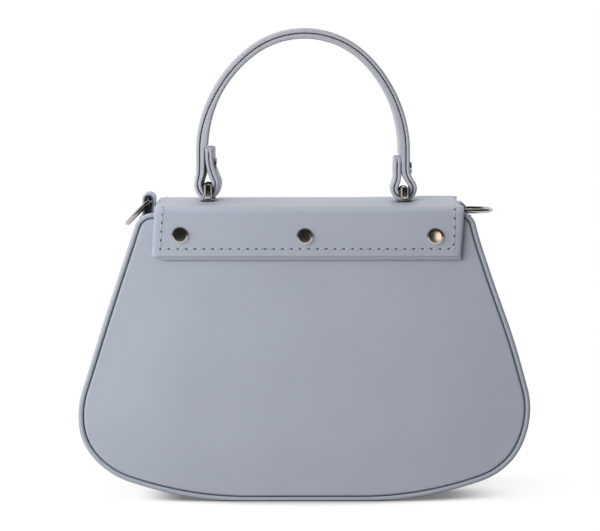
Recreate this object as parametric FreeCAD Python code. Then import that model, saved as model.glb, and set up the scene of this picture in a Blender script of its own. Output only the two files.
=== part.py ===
"""Top handle bag: a stiff trapezoid bag with a riveted flap, a short padded handle and two D-rings.

Millimetres, +Z up. The bag stands on the floor at z = 0, its back faces -Y and its flap closes on +Y.
The two panels lean towards each other. A piece that lies on the back panel is drawn in the panel's own
frame (x across, y into the bag, z up the panel) and then laid on the lean; the front is its mirror image.
"""
import FreeCAD, Part
import math
import os

Vector = FreeCAD.Vector

# Body outline, measured over the piping
BAG_WIDTH = 240.0
PANEL_HEIGHT = 154.2
BASE_FLAT = 60.0
BASE_RADIUS = 190.0
CORNER_RADIUS = 40.0
FLANK_LEAN = 17.8
SHOULDER_RADIUS = 10.0
BASE_DEPTH = 80.0
MOUTH_DEPTH = 60.0

# Skins of the body
PANEL_LEATHER = 1.6
PANEL_BOARD = 1.4
GUSSET_LEATHER = 1.6
BASE_BOARD = 2.4
BASE_BOARD_LENGTH = 150.0
LINING_CLOTH = 0.8
PIPING_DIAMETER = 2.8
PIPING_PROUD = 1.0
REST_FLAT = 0.4
SEAM_GAP = 0.05
GUSSET_DROP = 1.0
GUSSET_DIP = 6.0
GUSSET_HEM = 12.0
LINING_DROP = 3.0

# Flap
FLAP_SIDE_INSET = 7.8
ANCHOR_FLARE = 2.2
ANCHOR_DROP = 23.5
ANCHOR_LIP = 1.8
ANCHOR_LINING_INSET = 1.0
FLAP_LEATHER = 1.4
FLAP_BOARD = 1.4
FLAP_LINING = 0.8
ANCHOR_LINING = 1.0
FLAP_FRONT_DROP = 88.0
FLAP_CORNER_RADIUS = 32.0
FLAP_BASE_RADIUS = 420.0
FLAP_BOARD_MARGIN = 5.0
FLAP_LINING_MARGIN = 0.6
HINGE_LAND = 6.0
HINGE_CLEARANCE = 0.4
MOVING_CLEARANCE = 0.3

# Flap rivets and closing magnets
RIVET_EDGE = 14.5
RIVET_SHIFT = 1.4
RIVET_RISE = 11.7
RIVET_CAP_DIAMETER = 8.5
RIVET_CAP_HEIGHT = 1.6
RIVET_BEVEL = 0.8
RIVET_SHANK_DIAMETER = 3.0
RIVET_BACK_DIAMETER = 8.0
RIVET_BACK_THICKNESS = 0.9
FIT_GAP = 0.1
MAGNET_DIAMETER = 16.0
MAGNET_RISE = 22.0

# Handle and its bridges
HANDLE_WIDTH = 14.0
HANDLE_OFFSET = 4.0
STRAP_TOP_LEATHER = 2.1
STRAP_UNDER_LEATHER = 2.1
STRAP_PADDING = 2.2
STRAP_EDGE_ROUND = 1.2
PADDING_WALL = 1.0
PADDING_WIDTH = 8.0
ARCH_FLARE = 8.3
ARCH_SHOULDER = 16.1
ARCH_SPRING_RISE = 27.0
FOLD_RISE = 26.5
FOLD_GAP = 0.3
LOOP_EASE_RADIUS = 8.0
BRIDGE_INSET = 26.25
BAR_DIAMETER = 3.6
HANDLE_TILT = 4.0
POST_DIAMETER = 4.9
POST_CROWN = 0.8
POST_GAP = 0.5
FOOT_WIDTH = 7.4
FOOT_THICKNESS = 0.6
BRIDGE_SCREW_DIAMETER = 2.0
BRIDGE_SCREW_HEAD = 3.8
BRIDGE_SCREW_REACH = 5.0
BRIDGE_HEAD_DEPTH = 0.9
HANDLE_RIVET_RISE = 20.0
HANDLE_RIVET_CAP = 7.0
HANDLE_RIVET_CAP_HEIGHT = 1.2
HANDLE_RIVET_SHANK = 2.5

# Side rings and their tabs
RING_WIRE = 2.5
RING_WIDTH = 21.5
RING_LENGTH = 20.0
RING_CORNER = 3.0
RING_LEFT_RISE = 4.5
RING_LEFT_TILT = 46.0
TAB_WIDTH = 14.0
TAB_LOOP_LEATHER = 1.6
TAB_LOOP_CLEARANCE = 0.5
TAB_SIDE_CLEARANCE = 0.35
TAB_SLACK = 1.4
TAB_REACH = 14.0
RIGHT_TAB_DROP = 5.2

# Values that follow from the ones above
LEAN = math.asin((BASE_DEPTH - MOUTH_DEPTH) / 2 / PANEL_HEIGHT)
FLANK = math.radians(FLANK_LEAN)
PIPING_R = PIPING_DIAMETER / 2
PIPING_SINK = PIPING_R - PIPING_PROUD
PANEL_INSET = PIPING_DIAMETER + SEAM_GAP
GUSSET_INNER = PIPING_PROUD + GUSSET_LEATHER
LINING_INSET = GUSSET_INNER + BASE_BOARD
GUSSET_EDGE = PIPING_SINK + PIPING_R
LINING_FACE = PANEL_LEATHER + PANEL_BOARD
FLOOR_LIFT = PIPING_R - REST_FLAT - PIPING_R * math.cos(LEAN) + PIPING_SINK * math.sin(LEAN)


def lay_on_back(shape):
    """Lay a shape drawn in the back panel's frame on the leaning back of the bag."""
    placed = shape.copy()
    placed.Placement = FreeCAD.Placement(
        Vector(0, -BASE_DEPTH / 2, FLOOR_LIFT),
        FreeCAD.Rotation(Vector(1, 0, 0), -math.degrees(LEAN))).multiply(placed.Placement)
    return placed


def back_point(x, y, z):
    """World point of a point in the back panel's frame."""
    return Vector(x,
                  -BASE_DEPTH / 2 + y * math.cos(LEAN) + z * math.sin(LEAN),
                  FLOOR_LIFT - y * math.sin(LEAN) + z * math.cos(LEAN))


def to_front(shape):
    """Mirror a shape of the back to the front of the bag."""
    return shape.mirror(Vector(0, 0, 0), Vector(0, 1, 0))


def to_other_side(shape):
    """Mirror a shape of the bag's left to its right."""
    return shape.mirror(Vector(0, 0, 0), Vector(1, 0, 0))


PIPING_TOP = back_point(0, PIPING_SINK, PANEL_HEIGHT - PIPING_R)
BODY_TOP = PIPING_TOP.z + PIPING_R
GUSSET_TOP = BODY_TOP - GUSSET_DROP
FLAP_THICKNESS = FLAP_LEATHER + FLAP_BOARD + FLAP_LINING
FLAP_UNDER = BODY_TOP + MOVING_CLEARANCE
FLAP_TOP = FLAP_UNDER + FLAP_THICKNESS
ANCHOR_FACE = PIPING_PROUD + SEAM_GAP
ANCHOR_OUTER = ANCHOR_FACE + ANCHOR_LINING + FLAP_LEATHER
HINGE_R = FLAP_THICKNESS / 2
HINGE_Z = FLAP_UNDER + HINGE_R
HINGE_OUT = ANCHOR_OUTER - HINGE_R
HINGE_UP = (HINGE_Z - FLOOR_LIFT - HINGE_OUT * math.sin(LEAN)) / math.cos(LEAN)
HINGE_Y = back_point(0, -HINGE_OUT, HINGE_UP).y


def line(start, end):
    """Straight edge between two (x, z) points of the plane y = 0."""
    return Part.LineSegment(Vector(start[0], 0, start[1]), Vector(end[0], 0, end[1])).toShape()


def on_circle(centre, radius, angle):
    """Point of a circle in the plane y = 0, at an angle in radians from +X towards +Z."""
    return (centre[0] + radius * math.cos(angle), centre[1] + radius * math.sin(angle))


def arc(centre, radius, start, end):
    """Arc edge in the plane y = 0 between two angles in radians."""
    points = [on_circle(centre, radius, angle) for angle in (start, (start + end) / 2, end)]
    return Part.Arc(*[Vector(x, 0, z) for x, z in points]).toShape()


def mirrored(edges):
    """The edges and their mirror images in x."""
    return edges + [to_other_side(edge) for edge in edges]


def face_of(edges):
    """Plane face inside a closed chain of edges."""
    return Part.Face(Part.Wire(Part.__sortEdges__(edges)))


def slab(face, y_from, y_to):
    """Carry a face of the plane y = 0 from one depth to another."""
    moved = face.copy()
    moved.translate(Vector(0, y_from, 0))
    return moved.extrude(Vector(0, y_to - y_from, 0))


def rod_y(diameter, x, z, y_from, y_to):
    """Round rod along Y."""
    return Part.makeCylinder(diameter / 2, y_to - y_from, Vector(x, y_from, z), Vector(0, 1, 0))


def block(x_from, x_to, y_from, y_to, z_from, z_to):
    """Box between two corners."""
    return Part.makeBox(x_to - x_from, y_to - y_from, z_to - z_from, Vector(x_from, y_from, z_from))


def flank_edges(inset):
    """Right half of the outline below the shoulder, and the flank's corner arc centre, at an inset."""
    half_flat = BASE_FLAT / 2
    corner_x = BAG_WIDTH / 2 - CORNER_RADIUS
    spread = corner_x - half_flat
    corner_z = BASE_RADIUS - math.sqrt((BASE_RADIUS - CORNER_RADIUS) ** 2 - spread ** 2)
    turn = math.atan2(corner_z - BASE_RADIUS, spread)
    edges = [line((0, inset), (half_flat, inset)),
             arc((half_flat, BASE_RADIUS), BASE_RADIUS - inset, -math.pi / 2, turn),
             arc((corner_x, corner_z), CORNER_RADIUS - inset, turn, FLANK)]
    return edges, (corner_x, corner_z)


def flank_x(inset, z):
    """Half width of the body on its straight flank, at an inset and a height of the outline."""
    _, corner = flank_edges(0)
    reach = corner[0] * math.cos(FLANK) + corner[1] * math.sin(FLANK) + CORNER_RADIUS - inset
    return (reach - z * math.sin(FLANK)) / math.cos(FLANK)


# Widths that follow from the body's mouth
MOUTH_HALF = flank_x(0, PANEL_HEIGHT)
FLAP_HALF_WIDTH = MOUTH_HALF - FLAP_SIDE_INSET
ANCHOR_HALF_WIDTH = FLAP_HALF_WIDTH + ANCHOR_FLARE
RIVET_SPACING = ANCHOR_HALF_WIDTH - RIVET_EDGE
BRIDGE_SPACING = 2 * (FLAP_HALF_WIDTH - BRIDGE_INSET)
TAB_HOLE_R = RING_WIRE / 2 + TAB_LOOP_CLEARANCE
TAB_LOOP_R = TAB_HOLE_R + TAB_LOOP_LEATHER
RING_AXIS_X = FLAP_HALF_WIDTH + TAB_SIDE_CLEARANCE + TAB_LOOP_R


def panel_outline(inset):
    """Closed outline of a panel, with rounded shoulders, at an inset from the piping's outer edge."""
    edges, corner = flank_edges(inset)
    top = PANEL_HEIGHT - inset
    radius = SHOULDER_RADIUS - inset
    shoulder = (flank_x(inset + radius, top - radius), top - radius)
    edges.append(line(on_circle(corner, CORNER_RADIUS - inset, FLANK), on_circle(shoulder, radius, FLANK)))
    edges.append(arc(shoulder, radius, FLANK, math.pi / 2))
    edges.append(line((shoulder[0], top), (0, top)))
    return mirrored(edges)


def trough_face(inset, top):
    """Face inside the outline at an inset, with the flanks run straight up to a height."""
    edges, corner = flank_edges(inset)
    rim = (flank_x(inset, top), top)
    edges.append(line(on_circle(corner, CORNER_RADIUS - inset, FLANK), rim))
    edges.append(line(rim, (0, top)))
    return face_of(mirrored(edges))


def trough(inset, depth_in, top):
    """Solid inside the outline at an inset, kept a depth inside both leaning panel faces."""
    solid = slab(trough_face(inset, PANEL_HEIGHT), -BASE_DEPTH, BASE_DEPTH)
    solid.translate(Vector(0, 0, FLOOR_LIFT))
    high = 2 * PANEL_HEIGHT
    outside = lay_on_back(block(-BAG_WIDTH, BAG_WIDTH, -BASE_DEPTH, depth_in, -PANEL_HEIGHT, high))
    above = block(-BAG_WIDTH, BAG_WIDTH, -BASE_DEPTH, BASE_DEPTH, top, high)
    return solid.cut(Part.makeCompound([outside, to_front(outside), above]))


def rim_radius():
    """Radius of the gusset's rim, an arc that dips between the two panels."""
    half = MOUTH_DEPTH / 2
    return (half ** 2 + GUSSET_DIP ** 2) / (2 * GUSSET_DIP)


def rim_height(y):
    """Height of the gusset's rim at a depth in the bag."""
    return GUSSET_TOP - GUSSET_DIP + rim_radius() - math.sqrt(rim_radius() ** 2 - y ** 2)


def above_rim(drop):
    """Space above the gusset's rim, taken a drop lower."""
    start = Vector(-BAG_WIDTH, 0, rim_height(0) - drop + rim_radius())
    return Part.makeCylinder(rim_radius(), 2 * BAG_WIDTH, start, Vector(1, 0, 0))


def back_plate(inset, y_from, y_to):
    """Plate on the back panel, inside the outline at an inset, in the panel's frame."""
    return slab(face_of(panel_outline(inset)), y_from, y_to)


def rivet_places():
    """The three flap rivets' (x, z) places in the back panel's frame, the outer two a little to the right."""
    height = PANEL_HEIGHT - ANCHOR_DROP + RIVET_RISE
    return [(RIVET_SHIFT - RIVET_SPACING, height), (0.0, height), (RIVET_SHIFT + RIVET_SPACING, height)]


def rivet_holes():
    """Clearance holes for the flap rivets' shanks, in the back panel's frame."""
    reach = BASE_DEPTH / 4
    return Part.makeCompound([rod_y(RIVET_SHANK_DIAMETER + 2 * FIT_GAP, x, z, -reach, reach)
                              for x, z in rivet_places()])


def magnet_height():
    """Height of the closing magnets in the panel's frame."""
    return PANEL_HEIGHT - FLAP_FRONT_DROP + MAGNET_RISE


def pipe_along(edges, diameter, start, direction):
    """Round tube along a closed chain of lines and tangent arcs."""
    spine = Part.Wire(Part.__sortEdges__(edges))
    ring = Part.Wire(Part.makeCircle(diameter / 2, start, direction))
    tube = spine.makePipeShell([ring], True, True)
    expected = math.pi * diameter ** 2 / 4 * spine.Length
    share = tube.Volume / expected
    print("tube %.1f long, volume %.4f of its section times its length" % (spine.Length, share))
    return tube


def make_piping():
    """Piping round the back panel, flattened where the bag stands on it."""
    edges = panel_outline(PIPING_R)
    for edge in edges:
        edge.translate(Vector(0, PIPING_SINK, 0))
    tube = pipe_along(edges, PIPING_DIAMETER, Vector(0, PIPING_SINK, PIPING_R), Vector(1, 0, 0))
    below_floor = block(-BAG_WIDTH, BAG_WIDTH, -BASE_DEPTH, BASE_DEPTH, -PIPING_DIAMETER, 0)
    return lay_on_back(tube).cut(below_floor)


def make_body():
    """Panels, boards, gusset, piping and lining of the body."""
    holes = rivet_holes()
    leather = back_plate(PANEL_INSET, 0, PANEL_LEATHER)
    board = back_plate(PANEL_INSET, PANEL_LEATHER, LINING_FACE)
    magnet_hole = rod_y(MAGNET_DIAMETER + 2 * FIT_GAP, 0, magnet_height(), 0, BASE_DEPTH / 4)
    magnet = rod_y(MAGNET_DIAMETER, 0, magnet_height(), PANEL_LEATHER, LINING_FACE)
    piping = make_piping()
    strip = trough(PIPING_PROUD, GUSSET_EDGE, GUSSET_TOP).cut(trough(GUSSET_INNER, 0, BODY_TOP))
    cavity = trough(GUSSET_INNER, LINING_FACE, GUSSET_TOP).cut(trough(LINING_INSET, 0, BODY_TOP))
    hem_band = block(-BAG_WIDTH, BAG_WIDTH, -BASE_DEPTH, BASE_DEPTH, GUSSET_TOP - GUSSET_HEM, GUSSET_TOP)
    hem = cavity.common(hem_band)
    tab_half = TAB_WIDTH / 2 + FIT_GAP
    hem = hem.cut(block(-BAG_WIDTH, BAG_WIDTH, -tab_half, tab_half, 0, BODY_TOP))
    gusset = strip.fuse(hem).removeSplitter().cut(above_rim(0))
    half_board = BASE_BOARD_LENGTH / 2
    base_board = cavity.common(block(-half_board, half_board, -BASE_DEPTH, BASE_DEPTH, 0, CORNER_RADIUS))
    lining = trough(LINING_INSET, LINING_FACE, BODY_TOP - LINING_DROP).cut(
        trough(LINING_INSET + LINING_CLOTH, LINING_FACE + LINING_CLOTH, BODY_TOP))
    lining = lining.cut([lay_on_back(holes), above_rim(LINING_DROP)])
    return {"back_panel": lay_on_back(leather.cut(holes)),
            "back_board": lay_on_back(board.cut(holes)),
            "front_panel": to_front(lay_on_back(leather)),
            "front_board": to_front(lay_on_back(board.cut(magnet_hole))),
            "panel_magnet": to_front(lay_on_back(magnet)),
            "back_piping": piping,
            "front_piping": to_front(piping),
            "gusset": gusset,
            "base_board": base_board,
            "lining": lining}


def anchor_layer(y_from, y_to, drop, inset):
    """One leather layer of the flap's fixed back part, up to the fold, in the back panel's frame."""
    low = PANEL_HEIGHT - drop
    half_low = ANCHOR_HALF_WIDTH - inset
    half_top = FLAP_HALF_WIDTH - inset
    edges = [line((0, low), (half_low, low)),
             line((half_low, low), (half_top, HINGE_UP)),
             line((half_top, HINGE_UP), (0, HINGE_UP))]
    return slab(face_of(mirrored(edges)), y_from, y_to)


def make_anchor():
    """The flap's back part, riveted to the back panel, with a hollow where the fold turns."""
    fold = Part.makeCylinder(HINGE_R + HINGE_CLEARANCE, 2 * BAG_WIDTH,
                             Vector(-BAG_WIDTH, -HINGE_OUT, HINGE_UP), Vector(1, 0, 0))
    away = [rivet_holes(), fold]
    middle = -(ANCHOR_FACE + ANCHOR_LINING)
    outer = anchor_layer(-ANCHOR_OUTER, middle, ANCHOR_DROP, 0)
    inner = anchor_layer(middle, -ANCHOR_FACE, ANCHOR_DROP + ANCHOR_LIP, ANCHOR_LINING_INSET)
    return {"flap_anchor": lay_on_back(outer.cut(away)),
            "flap_anchor_lining": lay_on_back(inner.cut(away))}


def make_flap_rivets():
    """Three flat-capped rivets through the flap's back part, and their backs on the lining."""
    caps = []
    backs = []
    inside = LINING_FACE + LINING_CLOTH
    rim = RIVET_CAP_HEIGHT - RIVET_BEVEL
    for x, z in rivet_places():
        seat = Vector(x, -ANCHOR_OUTER, z)
        out = Vector(0, -1, 0)
        cap = Part.makeCylinder(RIVET_CAP_DIAMETER / 2, rim, seat, out)
        bevel = Part.makeCone(RIVET_CAP_DIAMETER / 2, RIVET_CAP_DIAMETER / 2 - RIVET_BEVEL, RIVET_BEVEL,
                              seat + out * rim, out)
        shank = rod_y(RIVET_SHANK_DIAMETER, x, z, -ANCHOR_OUTER, inside + RIVET_BACK_THICKNESS)
        caps.append(lay_on_back(cap.fuse([bevel, shank]).removeSplitter()))
        washer = rod_y(RIVET_BACK_DIAMETER, x, z, inside, inside + RIVET_BACK_THICKNESS)
        backs.append(lay_on_back(washer.cut(rivet_holes())))
    return {"flap_rivets": Part.makeCompound(caps), "rivet_backs": Part.makeCompound(backs)}


def flap_cutter(margin):
    """Space inside the flap's cut outline, less a margin: straight top, flared front, round corners."""
    half = FLAP_HALF_WIDTH - margin
    fold_z = PIPING_TOP.z
    fold_y = -PIPING_TOP.y
    radius = FLAP_CORNER_RADIUS - margin
    base = FLAP_BASE_RADIUS - margin
    low = fold_z - FLAP_FRONT_DROP + PIPING_R + margin
    slope = math.tan(FLANK)
    side = FLAP_HALF_WIDTH + fold_z * slope - (radius + margin) / math.cos(FLANK)
    centre_z = low + base
    a = 1 + slope ** 2
    b = side * slope + centre_z
    c = side ** 2 + centre_z ** 2 - (base - radius) ** 2
    corner_z = (b - math.sqrt(b ** 2 - a * c)) / a
    corner = (side - slope * corner_z, corner_z)
    turn = math.atan2(corner_z - centre_z, corner[0])
    bend = (FLAP_HALF_WIDTH - margin / math.cos(FLANK), fold_z)
    above = FLAP_TOP + FLAP_THICKNESS
    edges = [arc((0, centre_z), base, -math.pi / 2, turn),
             arc(corner, radius, turn, FLANK),
             line(on_circle(corner, radius, FLANK), bend),
             line(bend, (bend[0], above)),
             line((bend[0], above), (0, above))]
    front = slab(face_of(mirrored(edges)), fold_y, BASE_DEPTH)
    top = block(-half, half, -BASE_DEPTH, fold_y, FLAP_UNDER - FLAP_THICKNESS, above)
    return front, top


def flap_layer(from_under, thickness, y_start, margin):
    """One layer of the moving flap: flat over the mouth, round the front piping and down the front."""
    fold = (-PIPING_TOP.y, PIPING_TOP.z)
    inner = PIPING_R + MOVING_CLEARANCE + from_under
    outer = inner + thickness
    run = PANEL_HEIGHT
    down = (run * math.sin(LEAN), -run * math.cos(LEAN))

    def corners(radius):
        bend = on_circle(fold, radius, LEAN)
        return (fold[0], fold[1] + radius), bend, (bend[0] + down[0], bend[1] + down[1])

    top_in, bend_in, end_in = corners(inner)
    top_out, bend_out, end_out = corners(outer)
    edges = [line((y_start, top_out[1]), top_out),
             arc(fold, outer, math.pi / 2, LEAN),
             line(bend_out, end_out),
             line(end_out, end_in),
             line(end_in, bend_in),
             arc(fold, inner, LEAN, math.pi / 2),
             line(top_in, (y_start, top_in[1])),
             line((y_start, top_in[1]), (y_start, top_out[1]))]
    strip = slab(face_of(edges), -BAG_WIDTH, BAG_WIDTH)
    strip.rotate(Vector(0, 0, 0), Vector(0, 0, 1), 90)
    front, top = flap_cutter(margin)
    strip = strip.mirror(Vector(0, 0, 0), Vector(1, 0, 0))
    return strip.common(front).fuse(strip.common(top)).removeSplitter()


def bridge_places():
    """The two bridges' x places."""
    return {"left": -BRIDGE_SPACING / 2, "right": BRIDGE_SPACING / 2}


def post_places(x):
    """The (x, y) places of one bridge's two posts."""
    reach = HANDLE_WIDTH / 2 + POST_GAP + POST_DIAMETER / 2
    return [(x, HANDLE_OFFSET - reach), (x, HANDLE_OFFSET + reach)]


def bar_height():
    """Height of the bridge bars' axis, so that the tilted loop still clears the foot."""
    tilt = math.radians(HANDLE_TILT)
    loop = BAR_DIAMETER / 2 + loop_room() + STRAP_UNDER_LEATHER + STRAP_TOP_LEATHER
    dip = loop * math.cos(tilt) + HANDLE_WIDTH / 2 * math.sin(tilt)
    return FLAP_TOP + FOOT_THICKNESS + MOVING_CLEARANCE + dip


def loop_room():
    """Room between the bar and the strap's loop, so that the handle can tilt."""
    return HANDLE_WIDTH / 2 * math.sin(math.radians(HANDLE_TILT)) + MOVING_CLEARANCE


def foot_outline(x):
    """Stadium outline of a bridge's foot, at one x place, drawn flat."""
    reach = post_places(x)[1][1] - HANDLE_OFFSET
    half = FOOT_WIDTH / 2
    ends = [Part.makeCylinder(half, 1, Vector(x, HANDLE_OFFSET + side * reach, 0)) for side in (-1, 1)]
    middle = block(x - half, x + half, HANDLE_OFFSET - reach, HANDLE_OFFSET + reach, 0, 1)
    return middle.fuse(ends).removeSplitter()


def foot_plate(x, z_from, z_to):
    """Stadium plate of a bridge's foot size between two heights."""
    plate = foot_outline(x)
    matrix = FreeCAD.Matrix()
    matrix.scale(Vector(1, 1, z_to - z_from))
    plate = plate.transformGeometry(matrix)
    plate.translate(Vector(0, 0, z_from))
    return plate


def bridge_screw_holes(x, diameter):
    """Straight holes on one bridge's screw axes, through the flap's top."""
    return [Part.makeCylinder(diameter / 2, FLAP_THICKNESS + BRIDGE_SCREW_REACH, Vector(px, py, FLAP_UNDER))
            for px, py in post_places(x)]


def make_flap():
    """The moving flap with its board, lining and magnet, and the bridges that carry the handle."""
    y_start = HINGE_Y + HINGE_LAND
    leather = flap_layer(FLAP_LINING + FLAP_BOARD, FLAP_LEATHER, y_start, 0)
    roll = Part.makeCylinder(HINGE_R, 2 * FLAP_HALF_WIDTH, Vector(-FLAP_HALF_WIDTH, HINGE_Y, HINGE_Z),
                             Vector(1, 0, 0))
    land = block(-FLAP_HALF_WIDTH, FLAP_HALF_WIDTH, HINGE_Y, y_start, FLAP_UNDER, FLAP_TOP)
    leather = leather.fuse([roll, land]).removeSplitter()
    board = flap_layer(FLAP_LINING, FLAP_BOARD, y_start, FLAP_BOARD_MARGIN)
    lining = flap_layer(0, FLAP_LINING, y_start, FLAP_LINING_MARGIN)
    magnet_out = PIPING_PROUD + MOVING_CLEARANCE + FLAP_LINING
    magnet_in = -magnet_out - FLAP_BOARD
    magnet = rod_y(MAGNET_DIAMETER, 0, magnet_height(), magnet_in, -magnet_out)
    magnet_hole = rod_y(MAGNET_DIAMETER + 2 * FIT_GAP, 0, magnet_height(), magnet_in, -magnet_out)
    board = board.cut(to_front(lay_on_back(magnet_hole)))
    pieces = {}
    plates = []
    screws = []
    board_low = FLAP_UNDER + FLAP_LINING
    board_high = board_low + FLAP_BOARD
    for side, x in bridge_places().items():
        plate = foot_plate(x, board_low, board_high)
        board = board.cut(plate)
        leather = leather.cut(bridge_screw_holes(x, BRIDGE_SCREW_DIAMETER + 2 * FIT_GAP))
        pieces[side + "_bridge"] = make_bridge(x)
        for px, py in post_places(x):
            screws.append(make_bridge_screw(px, py, board_low))
        plates.append(plate.cut(Part.makeCompound(screws[-2:])))
    pieces.update({"flap_leather": leather, "flap_board": board, "flap_lining": lining,
                   "flap_magnet": to_front(lay_on_back(magnet)),
                   "bridge_plates": Part.makeCompound(plates), "bridge_screws": Part.makeCompound(screws)})
    return pieces


def make_bridge_screw(x, y, z):
    """Countersunk screw from under the flap's top into a bridge post."""
    shank = Part.makeCylinder(BRIDGE_SCREW_DIAMETER / 2, FLAP_TOP + BRIDGE_SCREW_REACH - z, Vector(x, y, z))
    head = Part.makeCone(BRIDGE_SCREW_HEAD / 2, BRIDGE_SCREW_DIAMETER / 2, BRIDGE_HEAD_DEPTH, Vector(x, y, z))
    return shank.fuse(head).removeSplitter()


def make_bridge(x):
    """Bridge: a foot, two round posts with crowned tops and the bar that the handle loops under."""
    crown = bar_height() + BAR_DIAMETER / 2
    posts = []
    for px, py in post_places(x):
        post = Part.makeCylinder(POST_DIAMETER / 2, crown - POST_CROWN - FLAP_TOP, Vector(px, py, FLAP_TOP))
        cap = Part.makeCone(POST_DIAMETER / 2, POST_DIAMETER / 2 - POST_CROWN, POST_CROWN,
                            Vector(px, py, crown - POST_CROWN))
        posts += [post, cap]
    (_, y_near), (_, y_far) = post_places(x)
    bar = rod_y(BAR_DIAMETER, x, bar_height(), y_near, y_far)
    solid = foot_plate(x, FLAP_TOP, FLAP_TOP + FOOT_THICKNESS).fuse(posts + [bar]).removeSplitter()
    bores = [Part.makeCylinder(BRIDGE_SCREW_DIAMETER / 2, BRIDGE_SCREW_REACH, Vector(px, py, FLAP_TOP))
             for px, py in post_places(x)]
    return solid.cut(bores)


def strap_run(offset, loops):
    """Right half of the strap's line at an offset outwards from its seam: (edges, first point, last point).

    From the crown of the arch: a top arc, a wider side arc, a straight leg, and with loops the ease,
    the turn under the bar, the second ease and the folded end.
    """
    bar = (BRIDGE_SPACING / 2, bar_height())
    half_gap = FOLD_GAP / 2 + STRAP_UNDER_LEATHER
    leg_x = bar[0] + half_gap
    fold_x = bar[0] - half_gap
    spring = FLAP_TOP + ARCH_SPRING_RISE
    fold_top = FLAP_TOP + FOLD_RISE
    top_radius = leg_x - ARCH_FLARE
    top = (0.0, spring + ARCH_SHOULDER)
    crown = top[1] + top_radius
    side_radius = (leg_x ** 2 + ARCH_SHOULDER ** 2 - top_radius ** 2) / (2 * ARCH_FLARE)
    side = (leg_x - side_radius, spring)
    meet = math.atan2(ARCH_SHOULDER, side_radius - leg_x)
    edges = [arc(top, top_radius + offset, math.pi / 2, meet),
             arc(side, side_radius + offset, meet, 0)]
    first = (0.0, crown + offset)
    leg = leg_x + offset
    if not loops:
        edges.append(line((leg, spring), (leg, fold_top)))
        return edges, first, (leg, fold_top)
    loop_radius = BAR_DIAMETER / 2 + loop_room() + STRAP_UNDER_LEATHER
    ease = LOOP_EASE_RADIUS
    climb = math.sqrt((loop_radius + ease) ** 2 - (half_gap + ease) ** 2)
    ease_z = bar[1] + climb
    tilt = math.atan2(climb, half_gap + ease)
    ease_out = (leg_x + ease, ease_z)
    ease_in = (fold_x - ease, ease_z)
    fold = fold_x - offset
    edges += [line((leg, spring), (leg, ease_z)),
              arc(ease_out, ease - offset, math.pi, math.pi + tilt),
              arc(bar, loop_radius + offset, tilt, -math.pi / 2),
              arc(bar, loop_radius + offset, -math.pi / 2, -math.pi - tilt),
              arc(ease_in, ease - offset, -tilt, 0),
              line((fold, ease_z), (fold, fold_top))]
    return edges, first, (fold, fold_top)


def strap_layer(offset_in, offset_out, width, loops):
    """Layer of the strap between two offsets from its seam, across a width."""
    inner, _, inner_end = strap_run(offset_in, loops)
    outer, _, outer_end = strap_run(offset_out, loops)
    face = face_of(mirrored(inner + outer + [line(inner_end, outer_end)]))
    return slab(face, HANDLE_OFFSET - width / 2, HANDLE_OFFSET + width / 2)


def rounded_strap(solid, offset, loops):
    """Round the two long edges of a strap layer that lie at an offset from the seam."""
    run, _, _ = strap_run(offset, loops)
    middles = [edge.valueAt((edge.FirstParameter + edge.LastParameter) / 2) for edge in mirrored(run)]
    chosen = []
    for edge in solid.Edges:
        point = edge.valueAt((edge.FirstParameter + edge.LastParameter) / 2)
        flat = Vector(point.x, 0, point.z)
        on_side = abs(abs(point.y - HANDLE_OFFSET) - HANDLE_WIDTH / 2) < SEAM_GAP
        if on_side and min((flat - middle).Length for middle in middles) < SEAM_GAP:
            chosen.append(edge)
    return solid.makeFillet(STRAP_EDGE_ROUND, chosen)


def make_handle():
    """Handle strap: two leathers, the padding of its arch and the rivets that close its loops."""
    top = strap_layer(0, STRAP_TOP_LEATHER, HANDLE_WIDTH, True)
    under = strap_layer(-STRAP_UNDER_LEATHER, 0, HANDLE_WIDTH, True)
    thick = STRAP_UNDER_LEATHER + STRAP_PADDING
    swell = strap_layer(-thick, 0, HANDLE_WIDTH, False)
    swell = rounded_strap(swell, -thick, False)
    padding = strap_layer(-thick + PADDING_WALL, -PADDING_WALL, PADDING_WIDTH, False)
    trim = FLAP_TOP + FOLD_RISE + PADDING_WALL
    padding = padding.cut(block(-BAG_WIDTH, BAG_WIDTH, -BASE_DEPTH, BASE_DEPTH, FLAP_TOP, trim))
    top = rounded_strap(top, STRAP_TOP_LEATHER, True)
    under = under.fuse(swell).removeSplitter().cut(padding)
    rivets = []
    for x in bridge_places().values():
        rivets.append(make_handle_rivet(x))
    holes = [make_handle_rivet_hole(x) for x in bridge_places().values()]
    return {"handle_top_leather": top.cut(holes),
            "handle_under_leather": under.cut(holes),
            "handle_padding": padding,
            "handle_rivets": Part.makeCompound(rivets)}


def handle_rivet_reach():
    """Half the distance between the outer faces that a loop rivet clamps."""
    return FOLD_GAP / 2 + STRAP_UNDER_LEATHER + STRAP_TOP_LEATHER


def make_handle_rivet_hole(x):
    """Clearance hole of a loop rivet."""
    reach = handle_rivet_reach()
    return Part.makeCylinder(HANDLE_RIVET_SHANK / 2 + FIT_GAP, 2 * reach,
                             Vector(x - reach, HANDLE_OFFSET, FLAP_TOP + HANDLE_RIVET_RISE), Vector(1, 0, 0))


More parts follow.
